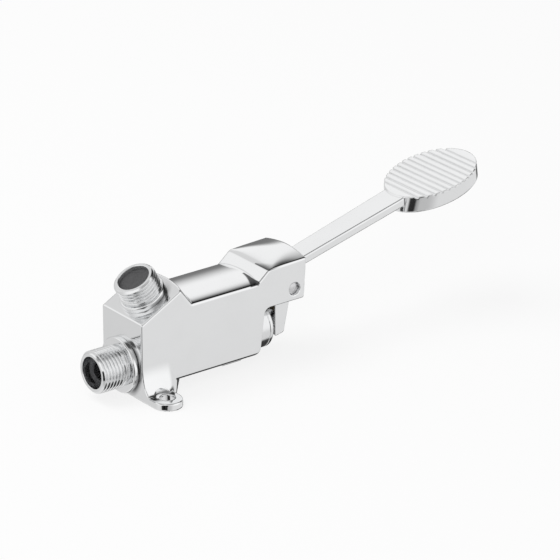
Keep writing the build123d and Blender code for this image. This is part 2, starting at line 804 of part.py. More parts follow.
washer_gap = (slot_half_width - lever_half_width - washer_thickness) / 2
with BuildPart() as thrust_washers:
    for washer_y in (lever_half_width + washer_gap, -lever_half_width - washer_gap - washer_thickness):
        with BuildSketch(Plane.XZ.offset(-washer_y)):
            with Locations((pivot_x, pivot_height)):
                Circle(hub_radius - washer_gap)
                Circle(pin_radius + running_clearance, mode=Mode.SUBTRACT)
        extrude(amount=-washer_thickness)
thrust_washers.part.label = "thrust_washers"

# Pivot pin with a low dome at each end, recessed in the ears
pin_half_length = half_width - pin_recess
pin_shoulder = pin_half_length - pin_dome_height
dome_radius = (pin_radius**2 + pin_dome_height**2) / (2 * pin_dome_height)
dome_angle = asin(pin_radius / dome_radius) / 2
dome_middle = (dome_radius * sin(dome_angle), pin_half_length - dome_radius * (1 - cos(dome_angle)))
with BuildPart() as pivot_pin:
    with BuildSketch(Plane(origin=(pivot_x, 0, pivot_height))):
        with BuildLine():
            ThreePointArc((0, pin_half_length), dome_middle, (pin_radius, pin_shoulder))
            Line((pin_radius, pin_shoulder), (pin_radius, 0))
            Line((pin_radius, 0), (0, 0))
            Line((0, 0), (0, pin_half_length))
        make_face()
    revolve(axis=Axis((pivot_x, 0, pivot_height), (0, 1, 0)))
    mirror(about=Plane.XZ)
pivot_pin.part.label = "pivot_pin"

pieces = [
    valve_body, inlet_nipple, outlet_nipple, inlet_gasket, outlet_gasket, inlet_strainer, outlet_screen,
    seat_bush, seat_o_ring, poppet, poppet_seal, poppet_nut, stem, spring_guide, return_spring, spring_cap,
    stem_clip, bonnet, bonnet_gasket, stem_seals, seal_spacer, gland_nut, stem_wiper, push_button,
    pedal_lever, lever_bush, thrust_washers, pivot_pin,
]
os.makedirs("parts", exist_ok=True)
for piece in pieces:
    export_step(piece.part, f"parts/{piece.part.label}.step")
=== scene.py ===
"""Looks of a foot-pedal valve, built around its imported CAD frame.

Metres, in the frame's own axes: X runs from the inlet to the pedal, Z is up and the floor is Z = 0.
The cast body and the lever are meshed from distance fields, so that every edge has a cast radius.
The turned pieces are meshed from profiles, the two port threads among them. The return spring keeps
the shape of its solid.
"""

import logging
import math
from dataclasses import dataclass, field
from enum import Enum
from typing import Callable, Optional, Sequence, Union

import bpy
import numpy as np
from mathutils import Matrix, Vector

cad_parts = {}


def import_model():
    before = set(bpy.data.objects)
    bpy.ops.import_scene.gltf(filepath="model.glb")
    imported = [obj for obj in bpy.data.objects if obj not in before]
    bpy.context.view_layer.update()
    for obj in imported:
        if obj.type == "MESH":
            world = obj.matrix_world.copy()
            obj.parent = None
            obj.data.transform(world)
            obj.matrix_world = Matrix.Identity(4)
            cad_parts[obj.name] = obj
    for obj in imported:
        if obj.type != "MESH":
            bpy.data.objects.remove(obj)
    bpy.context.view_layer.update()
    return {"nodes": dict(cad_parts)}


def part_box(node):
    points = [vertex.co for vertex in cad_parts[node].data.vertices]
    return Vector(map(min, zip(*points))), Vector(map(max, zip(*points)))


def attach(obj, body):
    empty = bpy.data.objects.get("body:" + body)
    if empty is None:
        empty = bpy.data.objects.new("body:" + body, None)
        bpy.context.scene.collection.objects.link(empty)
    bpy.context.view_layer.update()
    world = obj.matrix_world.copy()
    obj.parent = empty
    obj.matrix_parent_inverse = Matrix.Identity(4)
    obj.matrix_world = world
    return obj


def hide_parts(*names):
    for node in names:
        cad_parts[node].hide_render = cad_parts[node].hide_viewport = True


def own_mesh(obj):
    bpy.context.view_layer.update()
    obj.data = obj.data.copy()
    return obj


LOG = logging.getLogger("foot_valve")
Array = np.ndarray
Colour = tuple[float, float, float]
Pair = tuple[float, float]
Triple = tuple[float, float, float]
Number = Union[float, Array]
Field = Callable[[Array, Array, Array], Array]

MM = 0.001
WHITE = (1.0, 1.0, 1.0)
ALONG_X = (1.0, 0.0, 0.0)

# Name of the value on each point that says how much shade is painted there.
SHADE_LAYER = "hollow"

# Places and sizes that several pieces share. A pair is X and Z in the side view.
AXIS_HEIGHT = 14.3 * MM
FRONT = -8.0 * MM
PIVOT = (81.8 * MM, 34.75 * MM)
OUTLET_FACE = (4.741 * MM, 45.774 * MM)
OUTLET_TILT = math.radians(28.0)
ARM_SLOPE = math.radians(14.7)
BONNET_RADIUS = 11.9 * MM
THREAD_CREST = 10.4775 * MM
THREAD_ROOT = 9.3 * MM


class Slot(Enum):
    """Names of material slots, handed to dress(), which does not use them."""

    BODY = "body_chrome"
    PORT = "port_chrome"
    LEVER = "lever_chrome"
    BONNET = "bonnet_chrome"
    STEM = "stem_steel"
    SPRING = "spring_steel"


class Body(Enum):
    """Bodies that pieces ride on."""

    VALVE = "valve"
    STEM = "stem"
    PEDAL = "pedal"


# Shader graphs


class Signal:
    """A value in a node graph, on which arithmetic adds Math nodes."""

    def __init__(self, graph: "Graph", socket: Optional[bpy.types.NodeSocket]) -> None:
        """Wraps one output socket of a graph."""
        self.graph = graph
        self.socket = socket

    def _math(self, operation: str, *operands: Union["Signal", float]) -> "Signal":
        """Adds one Math node on these operands."""
        return self.graph.add("ShaderNodeMath", {"operation": operation}, dict(enumerate(operands)))

    def __add__(self, other: Union["Signal", float]) -> "Signal":
        """Sum."""
        return self._math("ADD", self, other)

    __radd__ = __add__

    def __sub__(self, other: Union["Signal", float]) -> "Signal":
        """Difference."""
        return self._math("SUBTRACT", self, other)

    def __rsub__(self, other: float) -> "Signal":
        """Difference from a plain number."""
        return self._math("SUBTRACT", other, self)

    def __mul__(self, other: Union["Signal", float]) -> "Signal":
        """Product."""
        return self._math("MULTIPLY", self, other)

    __rmul__ = __mul__

    def __pow__(self, other: float) -> "Signal":
        """Power."""
        return self._math("POWER", self, other)

    def sine(self) -> "Signal":
        """Sine of an angle in radians."""
        return self._math("SINE", self)

    def size(self) -> "Signal":
        """Value without its sign."""
        return self._math("ABSOLUTE", self)

    def span(self, low: float, high: float, ease: str = "LINEAR") -> "Signal":
        """Rescales the stretch from low to high to 0 to 1, clamped at both ends.

        Args:
            low, high: Ends of the stretch.
            ease: How the value runs between them.

        Returns:
            The rescaled value.
        """
        settings = {"clamp": True, "interpolation_type": ease}
        sockets = {"Value": self, "From Min": low, "From Max": high}
        return self.graph.add("ShaderNodeMapRange", settings, sockets)


class Graph:
    """Node graph of one material, or of the world."""

    def __init__(self, tree: bpy.types.NodeTree) -> None:
        """Empties the tree and starts the graph.

        Args:
            tree: Node tree of a material or a world.
        """
        self.tree = tree
        tree.nodes.clear()

    def add(
        self,
        kind: str,
        settings: Optional[dict[str, object]] = None,
        sockets: Optional[dict[Union[str, int], object]] = None,
        output: Union[str, int] = 0,
    ) -> Signal:
        """Adds one node.

        Args:
            kind: The node's type.
            settings: Attributes, which are set first.
            sockets: Values or signals for the inputs, by name or number.
            output: Which output the returned signal reads.

        Returns:
            The node's output.
        """
        node = self.tree.nodes.new(kind)
        for name, value in (settings or {}).items():
            setattr(node, name, value)
        for name, value in (sockets or {}).items():
            if isinstance(value, Signal):
                self.tree.links.new(value.socket, node.inputs[name])
            elif isinstance(value, tuple) and node.inputs[name].type == "RGBA":
                node.inputs[name].default_value = (*value, 1.0)
            else:
                node.inputs[name].default_value = value
        return Signal(self, node.outputs[output] if node.outputs else None)

    def several(
        self, kind: str, outputs: Sequence[str], sockets: Optional[dict[str, object]] = None
    ) -> tuple[Signal, ...]:
        """Adds one node and returns several of its outputs."""
        node = self.add(kind, None, sockets).socket.node
        return tuple(Signal(self, node.outputs[name]) for name in outputs)

    def place(self) -> Signal:
        """Place on the piece, in metres."""
        return self.add("ShaderNodeTexCoord", None, None, "Object")

    def mix(self, share: Signal, plain: Union[Signal, Colour], other: Colour) -> Signal:
        """Colour between two others."""
        sockets = {"Factor": share, 6: plain, 7: other}
        return self.add("ShaderNodeMix", {"data_type": "RGBA"}, sockets, 2)

    def vector(
        self, operation: str, first: Signal, second: Union[Signal, Triple], output: str = "Vector"
    ) -> Signal:
        """Adds a Vector Math node on two vectors."""
        return self.add("ShaderNodeVectorMath", {"operation": operation}, {0: first, 1: second}, output)

    def noise(self, place: Signal, scale: float, detail: float = 2.0, rough: float = 0.5) -> Signal:
        """Adds a noise texture and returns its factor."""
        sockets = {"Vector": place, "Scale": scale, "Detail": detail, "Roughness": rough}
        return self.add("ShaderNodeTexNoise", None, sockets, "Fac")

    def stretched(self, place: Signal, scale: Triple, turn: float = 0.0) -> Signal:
        """Scales a place vector unevenly, after a turn about Y in radians."""
        sockets = {"Vector": place, "Scale": scale, "Rotation": (0.0, turn, 0.0)}
        return self.add("ShaderNodeMapping", None, sockets)

    def patch(self, way: Signal, centre: Triple, inner: float, outer: float, flat: float = 1.0) -> Signal:
        """Soft-edged patch of directions.

        Args:
            way: Direction vector.
            centre: Direction of the patch's middle.
            inner: Angle from the middle up to which it is full, in degrees.
            outer: Angle where it has faded out, in degrees.
            flat: Scale on heights, over 1 for a patch that is wider than tall.

        Returns:
            One in the patch and zero outside it.
        """
        stretched = self.vector("MULTIPLY", way, (1.0, 1.0, flat))
        unit = self.add("ShaderNodeVectorMath", {"operation": "NORMALIZE"}, {0: stretched})
        middle = Vector((centre[0], centre[1], centre[2] * flat)).normalized()
        nearness = self.vector("DOT_PRODUCT", unit, tuple(middle), "Value")
        return nearness.span(math.cos(math.radians(outer)), math.cos(math.radians(inner)), "SMOOTHSTEP")

    def bump(self, height: Signal, distance: float) -> Signal:
        """Adds a bump whose height runs over a distance in metres."""
        return self.add("ShaderNodeBump", None, {"Height": height, "Distance": distance, "Strength": 1.0})

    def finish(self, sockets: dict[str, object]) -> None:
        """Adds the surface shader and the material's output."""
        shader = self.add("ShaderNodeBsdfPrincipled", None, sockets)
        self.add("ShaderNodeOutputMaterial", None, {"Surface": shader})


@dataclass(frozen=True)
class Chrome:
    """Bright plating on a polished or turned surface.

    Attributes:
        name: The material's name.
        tone: Colour of the reflection.
        roughness: Roughness of the clean plating.
        haze: How much the wiped haze adds to the roughness.
        ripple: Height of the polisher's waves under the plating, in metres.
        grain: Height of the finest scratches, in metres.
        grain_scale: How the scratches are stretched along X, Y and Z.
        grain_turn: Turn of the scratches about Y, in radians.
        slot: Front, half width and top of a slot whose walls are rough, unplated and painted dark as shade,
            in metres.
        slot_blur: Width over which the slot's painted shade fades out, in metres.
        dark: Colour painted as shade in hollow corners and in the slot.
        wave_scale: Scale of the polisher's waves.
        smear_scale: Scale of the wiped haze.
        smear_band: Noise values between which the haze sets in.
        dust_scale: Scale of the dust.
        dust_band: Noise values between which the dust sets in.
        shade_and_grime_power: How sharply painted shade and grime's roughness draw back into a corner.
        roughening: What dust, a corner's grime and the slot add to the roughness.
    """

    name: str
    tone: Colour = (0.86, 0.865, 0.87)
    roughness: float = 0.055
    haze: float = 0.07
    ripple: float = 0.000020
    grain: float = 0.0000012
    grain_scale: Triple = (240.0, 240.0, 2600.0)
    grain_turn: float = 0.0
    slot: Optional[Triple] = None
    slot_blur: float = 0.15 * MM
    dark: Colour = (0.03, 0.03, 0.032)
    wave_scale: float = 55.0
    smear_scale: float = 38.0
    smear_band: Pair = (0.42, 0.72)
    dust_scale: float = 2300.0
    dust_band: Pair = (0.60, 0.80)
    shade_and_grime_power: float = 1.6
    roughening: Triple = (0.05, 0.25, 0.45)

    def inside(self, graph: Graph, place: Signal) -> Union[Signal, float]:
        """One on the walls of the slot and zero elsewhere.

        Args:
            graph: The material's graph.
            place: Place on the piece.

        Returns:
            The share, or plain zero where the piece has no slot.
        """
        if self.slot is None:
            return 0.0
        front, half, top = self.slot
        along, across, up = graph.several("ShaderNodeSeparateXYZ", "XYZ", {"Vector": place})
        blur = self.slot_blur
        deep = along.span(front - 3 * blur, front - blur)
        low = 1.0 - up.span(top, top + blur)
        return deep * low * (1.0 - across.size().span(half + blur, half + 2 * blur))

    def build(self) -> bpy.types.Material:
        """Builds the material.

        Returns:
            The material.
        """
        material, graph = new_material(self.name)
        place = graph.place()
        waves = graph.noise(place, self.wave_scale, detail=1.0, rough=0.4)
        smears = graph.noise(place, self.smear_scale, detail=4.0, rough=0.6).span(*self.smear_band)
        streaks = graph.stretched(place, self.grain_scale, self.grain_turn)
        hairs = graph.noise(streaks, 1.0, rough=0.55)
        dust = graph.noise(place, self.dust_scale, rough=0.7).span(*self.dust_band)
        # The hollow value is painted shade: it darkens hollow corners and the near-side wedges, and
        # roughens them as grime.
        hollow = graph.add("ShaderNodeAttribute", {"attribute_name": SHADE_LAYER}, None, "Fac")
        grime = hollow**self.shade_and_grime_power
        by_dust, by_grime, by_slot = self.roughening
        haze = self.haze * smears * (0.4 + 0.6 * hairs)
        rough = self.roughness + haze + by_dust * dust + by_grime * grime
        height = waves * (self.ripple / self.grain) + hairs
        wiped = graph.mix(smears * 0.5, self.tone, tuple(0.95 * part for part in self.tone))
        inside = self.inside(graph, place)
        # Painted shade: the base colour goes to the dark colour in hollow corners and on the slot's walls.
        painted_dark = (0.92 * grime + inside).span(0.0, 1.0)
        graph.finish(
            {
                "Base Color": graph.mix(painted_dark, wiped, self.dark),
                "Metallic": 1.0 - 0.6 * inside,
                "Roughness": rough + by_slot * inside,
                "Normal": graph.bump(height, self.grain),
            }
        )
        return material


@dataclass(frozen=True)
class GroundMetal:
    """Bare metal with turning or grinding lines.

    Attributes:
        name: The material's name.
        tone: Colour of the metal.
        roughness: Roughness between the lines.
        lines: Scale of the lines along X, Y and Z.
        depth: Height of the lines, in metres.
        stain: Colour of the tarnish.
        tarnish_scale: Scale of the tarnish.
        tarnish_band: Noise values between which the tarnish sets in.
        roughening: What the lines and the tarnish add to the roughness.
    """

    name: str
    tone: Colour
    roughness: float = 0.26
    lines: Triple = (5200.0, 120.0, 120.0)
    depth: float = 0.000004
    stain: Colour = (0.35, 0.33, 0.30)
    tarnish_scale: float = 210.0
    tarnish_band: Pair = (0.5, 0.78)
    roughening: Pair = (0.16, 0.14)

    def build(self) -> bpy.types.Material:
        """Builds the material.

        Returns:
            The material.
        """
        material, graph = new_material(self.name)
        place = graph.place()
        lines = graph.noise(graph.stretched(place, self.lines), 1.0, detail=3.0, rough=0.6)
        tarnish = graph.noise(place, self.tarnish_scale, detail=4.0, rough=0.65).span(*self.tarnish_band)
        by_lines, by_tarnish = self.roughening
        graph.finish(
            {
                "Base Color": graph.mix(tarnish * 0.45, self.tone, self.stain),
                "Metallic": 1.0,
                "Roughness": self.roughness + by_lines * lines + by_tarnish * tarnish,
                "Normal": graph.bump(lines, self.depth),
            }
        )
        return material


@dataclass(frozen=True)
class Soft:
    """Rubber or moulded plastic.

    Attributes:
        name: The material's name.
        tone: Colour of the piece.
        worn: Colour where it is scuffed or dusty.
        roughness: Roughness of the moulded skin.
        scuff_scale: Scale of the scuffs.
        scuff_band: Noise values between which the scuffs set in.
        scuff_rough: What the scuffs add to the roughness.
        grain_scale: Scale of the mould's grain.
        grain_depth: Height of the mould's grain, in metres.
    """

    name: str
    tone: Colour
    worn: Colour
    roughness: float
    scuff_scale: float = 420.0
    scuff_band: Pair = (0.48, 0.75)
    scuff_rough: float = 0.18
    grain_scale: float = 3800.0
    grain_depth: float = 0.00003

    def build(self) -> bpy.types.Material:
        """Builds the material.

        Returns:
            The material.
        """
        material, graph = new_material(self.name)
        place = graph.place()
        scuffs = graph.noise(place, self.scuff_scale, detail=5.0, rough=0.7).span(*self.scuff_band)
        grain = graph.noise(place, self.grain_scale)
        graph.finish(
            {
                "Base Color": graph.mix(scuffs * 0.5, self.tone, self.worn),
                "Roughness": self.roughness + self.scuff_rough * scuffs,
                "Normal": graph.bump(grain, self.grain_depth),
            }
        )
        return material


@dataclass(frozen=True)
class WovenScreen:
    """Fine wire cloth: bright wires over dark gaps.

    Attributes:
        name: The material's name.
        wire: Colour of the wires.
        gap: Colour of the gaps between them.
        pitch: Distance from wire to wire, in metres.
        tilt: Tilt of the cloth about Y, in radians.
        depth: Height of the wires, in metres.
        weave_power: Power of the weave, larger for narrower gaps.
        grime_scale: Scale of the grime on the wires.
        roughness: Roughness of the clean wires.
        grime_rough: What the grime adds to the roughness.
    """

    name: str
    wire: Colour = (0.20, 0.20, 0.205)
    gap: Colour = (0.004, 0.004, 0.004)
    pitch: float = 0.55 * MM
    tilt: float = 0.0
    depth: float = 0.00008
    weave_power: float = 0.7
    grime_scale: float = 600.0
    roughness: float = 0.42
    grime_rough: float = 0.25

    def build(self) -> bpy.types.Material:
        """Builds the material.

        Returns:
            The material.
        """
        material, graph = new_material(self.name)
        place = graph.place()
        flat = graph.stretched(place, (1.0, 1.0, 1.0), self.tilt)
        across, along = graph.several("ShaderNodeSeparateXYZ", "XY", {"Vector": flat})
        turn = 2 * math.pi / self.pitch
        warp = (across * turn).sine() * 0.5 + 0.5
        weft = (along * turn).sine() * 0.5 + 0.5
        weave = (warp * weft) ** self.weave_power
        grime = graph.noise(place, self.grime_scale, detail=3.0, rough=0.6)
        wires = (1.0 - weave) * (0.55 + 0.45 * grime)
        graph.finish(
            {
                "Base Color": graph.mix(wires, self.gap, self.wire),
                "Metallic": 0.6,
                "Roughness": self.roughness + self.grime_rough * grime,
                "Normal": graph.bump(wires, self.depth),
            }
        )
        return material


def new_material(name: str) -> tuple[bpy.types.Material, Graph]:
    """Makes an empty node material.

    Args:
        name: The material's name.

    Returns:
        The material and its graph.
    """
    material = bpy.data.materials.new(name)
    material.use_nodes = True
    return material, Graph(material.node_tree)


# Distance fields and their surface


def both(a: Array, b: Array, radius: float = 0.0) -> Array:
    """Intersection of two solids, with a round convex edge where they meet.

    Args:
        a, b: Distances outside the two solids.
        radius: Radius of the edge.

    Returns:
        Distance outside what the two share.
    """
    if radius <= 0.0:
        return np.maximum(a, b)
    reach = np.sqrt(np.maximum(a + radius, 0.0) ** 2 + np.maximum(b + radius, 0.0) ** 2)
    return np.minimum(np.maximum(a, b), -radius) + reach


def either(a: Array, b: Array, radius: Number = 0.0) -> Array:
    """Union of two solids, with a round hollow corner where they meet.

    Args:
        a, b: Distances outside the two solids.
        radius: Radius of the corner.

    Returns:
        Distance outside the two as one.
    """
    if np.isscalar(radius) and radius <= 0.0:
        return np.minimum(a, b)
    reach = np.sqrt(np.maximum(radius - a, 0.0) ** 2 + np.maximum(radius - b, 0.0) ** 2)
    return np.maximum(np.minimum(a, b), radius) - reach


def left_of(x: Array, z: Array, start: Sequence[float], end: Sequence[float]) -> Array:
    """Distance to the left of a line in the side view, which is outside when the line goes clockwise."""
    run, rise = end[0] - start[0], end[1] - start[1]
    return ((z - start[1]) * run - (x - start[0]) * rise) / math.hypot(run, rise)


def outside_circle(a: Array, b: Array, radius: float) -> Array:
    """Distance outside a circle about zero."""
    return np.sqrt(a**2 + b**2) - radius


def outside_ellipse(a: Array, b: Array, half_a: Number, half_b: Number) -> Array:
    """Rough distance outside an ellipse about zero, close to true near its rim.

    Args:
        a, b: Places across and up.
        half_a, half_b: Half its width and half its height.

    Returns:
        The distance, negative inside.
    """
    reach = np.maximum(np.sqrt((a / half_a) ** 2 + (b / half_b) ** 2), 1e-3)
    steep = np.maximum(np.sqrt((a / half_a**2) ** 2 + (b / half_b**2) ** 2), 1.0)
    return (reach - 1) * reach / steep


def faded(value: Array) -> Array:
    """The value, held between zero and one."""
    return np.clip(value, 0.0, 1.0)


@dataclass
class SurfaceNet:
    """Meshes the zero surface of a distance field with one quad for each crossed grid edge.

    Attributes:
        cell: Size of the grid's cells, in metres.
        pulls: How often the points are drawn on to the surface.
        finer: How much finer than a cell the step is over which the field's slope is taken.
        flattest: Least square of the slope that a pull counts with, which keeps the moves short.
    """

    cell: float
    pulls: int = 4
    finer: float = 50.0
    # Gives a piece its material and its body, and hides the CAD nodes that it stands for.
    flattest: float = 0.25

    def mesh(self, shape: Field, low: Sequence[float], high: Sequence[float]) -> tuple[Array, Array]:
        """Meshes the field inside a box.

        Args:
            shape: Distance field of the solid, negative inside.
            low: Lowest corner of the box, clear of the solid.
            high: Highest corner of the box, clear of the solid.

        Returns:
            Points, and quads of point numbers.
        """
        axes = [np.arange(a, b + self.cell, self.cell) for a, b in zip(low, high)]
        value = shape(*np.meshgrid(*axes, indexing="ij", sparse=True))
        inside = value < 0
        full = [slice(None, -1), slice(1, None)]
        count = sum(inside[a, b, c].astype(np.uint8) for a in full for b in full for c in full)
        active = (count > 0) & (count < 8)
        number = np.full(active.shape, -1, np.int64)
        number[active] = np.arange(int(active.sum()))
        points = self._pulled(shape, self._crossings(value, np.argwhere(active), np.array(low, float)))
        return points, self._quads(inside, number)

    def _crossings(self, value: Array, cells: Array, low: Array) -> Array:
        """Mean of the places where the surface crosses each cell's edges.

        Args:
            value: The field at the grid's corners.
            cells: Numbers of the cells that the surface passes through.
            low: Lowest corner of the grid.

        Returns:
            One point for each cell.
        """
        total = np.zeros(cells.shape)
        found = np.zeros(len(cells))
        for axis in range(3):
            for corner in ((0, 0), (0, 1), (1, 0), (1, 1)):
                start = cells.copy()
                start[:, (axis + 1) % 3] += corner[0]
                start[:, (axis + 2) % 3] += corner[1]
                end = start.copy()
                end[:, axis] += 1
                a, b = value[tuple(start.T)], value[tuple(end.T)]
                crossed = (a < 0) != (b < 0)
                point = start[crossed].astype(float)
                point[:, axis] += a[crossed] / (a[crossed] - b[crossed])
                total[crossed] += point
                found += crossed
        return low + self.cell * total / found[:, None]

    def _pulled(self, shape: Field, points: Array) -> Array:
        """Draws the points on to the surface along the field's slope.

        Args:
            shape: Distance field of the solid.
            points: Points near its surface.

        Returns:
            The moved points.
        """
        for _ in range(self.pulls):
            slope = self._slope(shape, points)
            size = np.maximum((slope**2).sum(1), self.flattest)
            move = np.clip(shape(*points.T) / size, -self.cell / 2, self.cell / 2)
            points = points - move[:, None] * slope
        return points

    def _slope(self, shape: Field, points: Array) -> Array:
        """The field's slope at each point.

        Args:
            shape: Distance field of the solid.
            points: Places of the points.

        Returns:
            One vector for each point, of length one where the field is a true distance.
        """
        step = self.cell / self.finer
        slope = np.zeros(points.shape)
        for axis in range(3):
            nudge = np.zeros(3)
            nudge[axis] = step
            slope[:, axis] = (shape(*(points + nudge).T) - shape(*(points - nudge).T)) / (2 * step)
        return slope

    def hollows(self, shape: Field, points: Array, reach: float) -> Array:
        """How deep each point sits in a hollow corner, from 0 in the open to 1 in the corner itself.

        Args:
            shape: Distance field of the solid.
            points: Points on its surface.
            reach: How far from the corner a point counts as open.

        Returns:
            One value for each point.
        """
        slope = self._slope(shape, points)
        slope /= np.maximum(np.linalg.norm(slope, axis=1), 1e-12)[:, None]
        return faded(1 - shape(*(points + reach * slope).T) / reach)

    @staticmethod
    def _quads(inside: Array, number: Array) -> Array:
        """One quad round each grid edge that the surface crosses, facing outwards.

        Args:
            inside: Which of the grid's corners lie inside the solid.
            number: Number of each cell's point, or -1.

        Returns:
            Four point numbers for each quad.
        """
        quads = []
        for axis in range(3):
            across, up = (axis + 1) % 3, (axis + 2) % 3
            lower = [slice(None)] * 3
            upper = [slice(None)] * 3
            lower[axis], upper[axis] = slice(None, -1), slice(1, None)
            first = inside[tuple(lower)]
            at = np.argwhere(first != inside[tuple(upper)])
            at = at[(at[:, across] > 0) & (at[:, up] > 0)]
            at = at[(at[:, across] < number.shape[across]) & (at[:, up] < number.shape[up])]
            step_across, step_up = np.zeros(3, int), np.zeros(3, int)
            step_across[across], step_up[up] = 1, 1
            around = (at, at - step_across, at - step_across - step_up, at - step_up)
            quad = np.stack([number[tuple(cell.T)] for cell in around], 1)
            turned = ~first[tuple(at.T)]
            quad[turned] = quad[turned][:, ::-1]
            quads.append(quad)
        return np.concatenate(quads)


def new_piece(name: str, points: Array, faces: Sequence[Sequence[int]]) -> bpy.types.Object:
    """Makes a smooth-shaded mesh object.

    Args:
        name: The object's name.
        points: Places of the points, in metres.
        faces: Point numbers of each face.

    Returns:
        The object, linked to the scene.
    """
    mesh = bpy.data.meshes.new(name)
    mesh.from_pydata(points.tolist(), [], [list(face) for face in faces])
    mesh.polygons.foreach_set("use_smooth", np.ones(len(mesh.polygons), bool))
    mesh.update()
    piece = bpy.data.objects.new(name, mesh)
    bpy.context.scene.collection.objects.link(piece)
    return piece


def cast(
    name: str,
    node: str,
    shape: Field,
    cell: float,
    reach: float,
    painted_dark: Optional[Callable[[Array], Array]] = None,
) -> bpy.types.Object:
    """Meshes a casting from its distance field, and stores where shade is painted on its plating.

    Args:
        name: The new piece's name.
        node: CAD node in whose box the casting lies.
        shape: Distance field of the casting.
        cell: Size of the grid's cells, in metres.
        reach: How far from a hollow corner shade is painted, in metres.
        painted_dark: Painted shade elsewhere, for each point.

    Returns:
        The piece, with a value for each point: 0 where no shade is painted, 1 where the painted shade is
            darkest.
    """
    low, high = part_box(node)
    margin = 2 * cell
    net = SurfaceNet(cell * (1))
    points, quads = net.mesh(shape, [value - margin for value in low], [value + margin for value in high])
    # Painted shade, darkest where a point sits deepest in a hollow corner.
    depth = net.hollows(shape, points, reach)
    if painted_dark is not None:
        depth = np.maximum(depth, painted_dark(points))
    piece = new_piece(name, points, quads)
    layer = piece.data.attributes.new(SHADE_LAYER, "FLOAT", "POINT")
    layer.data.foreach_set("value", depth.astype(np.float32))
    return piece


# The cast body


